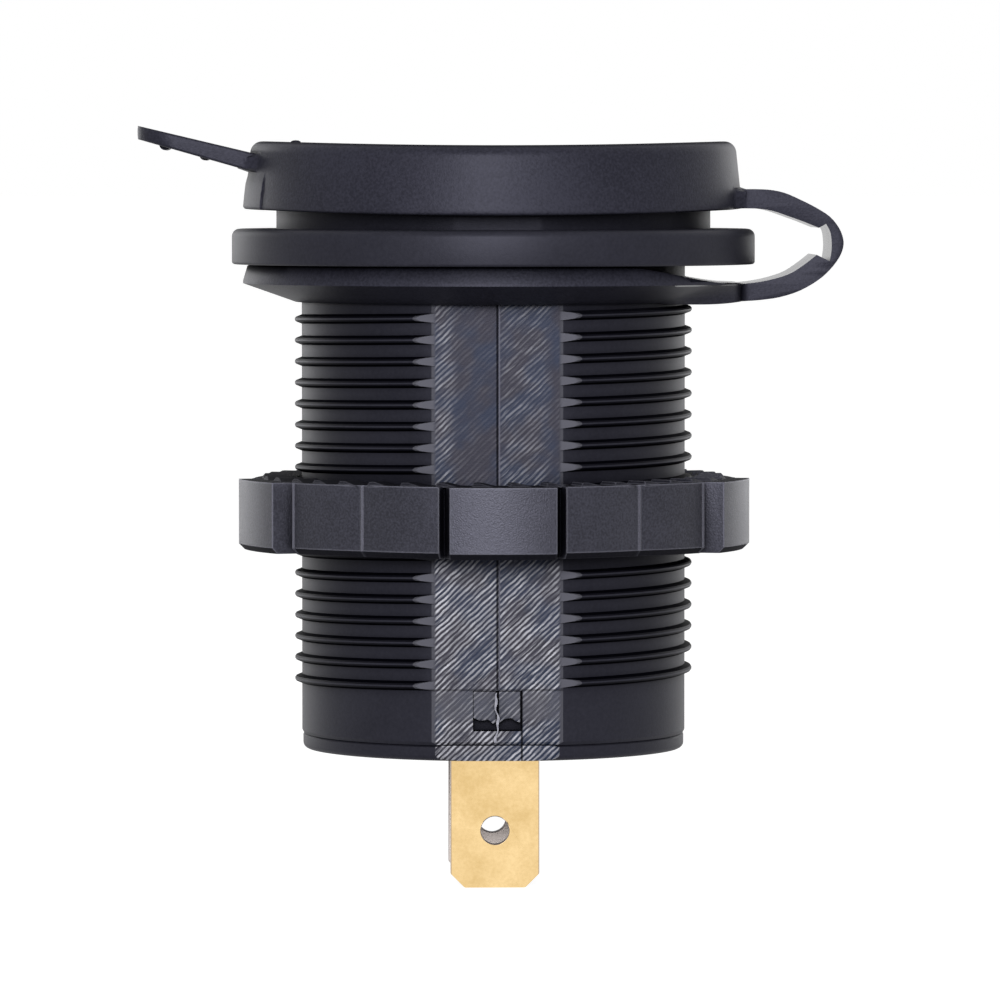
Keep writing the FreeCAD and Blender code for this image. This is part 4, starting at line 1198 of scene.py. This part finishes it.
def make_floor():
    """A wide white floor that glows for the camera and in mirrors, so that its edge never shows."""
    size = 20000
    level = BLADE_TIP - 0.02
    floor = make_object("floor", [(-size, -size, level), (size, -size, level),
                                  (size, size, level), (-size, size, level)], [(0, 1, 2, 3)])
    material = bpy.data.materials.new("floor_white")
    material.use_nodes = True
    made = Tree(material.node_tree)
    made.tree.nodes.clear()
    diffuse = made.add("ShaderNodeBsdfDiffuse")
    diffuse.inputs["Color"].default_value = (0.35, 0.35, 0.35, 1)
    glow = made.add("ShaderNodeEmission")
    made.link(emission_for_rays(made, 0.0, 0.92), glow.inputs["Strength"])
    lit = made.add("ShaderNodeAddShader")
    made.link(diffuse.outputs[0], lit.inputs[0])
    made.link(glow.outputs[0], lit.inputs[1])
    pick = made.add("ShaderNodeMixShader")
    made.link(made.add("ShaderNodeLightPath").outputs["Is Glossy Ray"], pick.inputs[0])
    made.link(lit.outputs[0], pick.inputs[1])
    made.link(made.add("ShaderNodeEmission").outputs[0], pick.inputs[2])
    made.link(pick.outputs[0], made.add("ShaderNodeOutputMaterial").inputs["Surface"])
    floor.data.materials.append(material)


def aim(thing, target):
    """Turn a lamp or camera to look at a point in millimetres."""
    direction = Vector(target) * MM - thing.location
    thing.rotation_euler = direction.to_track_quat("-Z", "Y").to_euler()


def make_lamp(name, place, size, watts):
    lamp = bpy.data.lights.new(name, "AREA")
    lamp.shape = "RECTANGLE"
    lamp.size, lamp.size_y = size[0] * MM, size[1] * MM
    lamp.energy = watts
    made = bpy.data.objects.new(name, lamp)
    bpy.context.scene.collection.objects.link(made)
    made.location = Vector(place) * MM
    aim(made, (0, 0, -15))


CAMERA_AZIMUTH = -1.3
CAMERA_ELEVATION = 2.55
CAMERA_DISTANCE = 520
CAMERA_TARGET = (0.48, 0, -17.0)
PIXELS_PER_MM = 13.88


def make_camera():
    data = bpy.data.cameras.new("camera")
    data.sensor_width = 36
    data.lens = 36 * PIXELS_PER_MM * CAMERA_DISTANCE / 1000
    data.clip_end = 60
    camera = bpy.data.objects.new("camera", data)
    bpy.context.scene.collection.objects.link(camera)
    azimuth, elevation = math.radians(CAMERA_AZIMUTH), math.radians(CAMERA_ELEVATION)
    back = Vector((math.sin(azimuth) * math.cos(elevation),
                   -math.cos(azimuth) * math.cos(elevation), math.sin(elevation)))
    camera.location = (Vector(CAMERA_TARGET) + back * CAMERA_DISTANCE) * MM
    aim(camera, CAMERA_TARGET)
    bpy.context.scene.camera = camera


make_world()
make_floor()
make_lamp("key", (-30, -450, 95), (170, 150), 2.5)
make_lamp("left_rim", (-240, 330, 0), (200, 300), 0.45)
make_lamp("right_rim", (240, 330, 0), (200, 300), 0.36)
make_camera()
bpy.context.scene.view_settings.view_transform = "Standard"
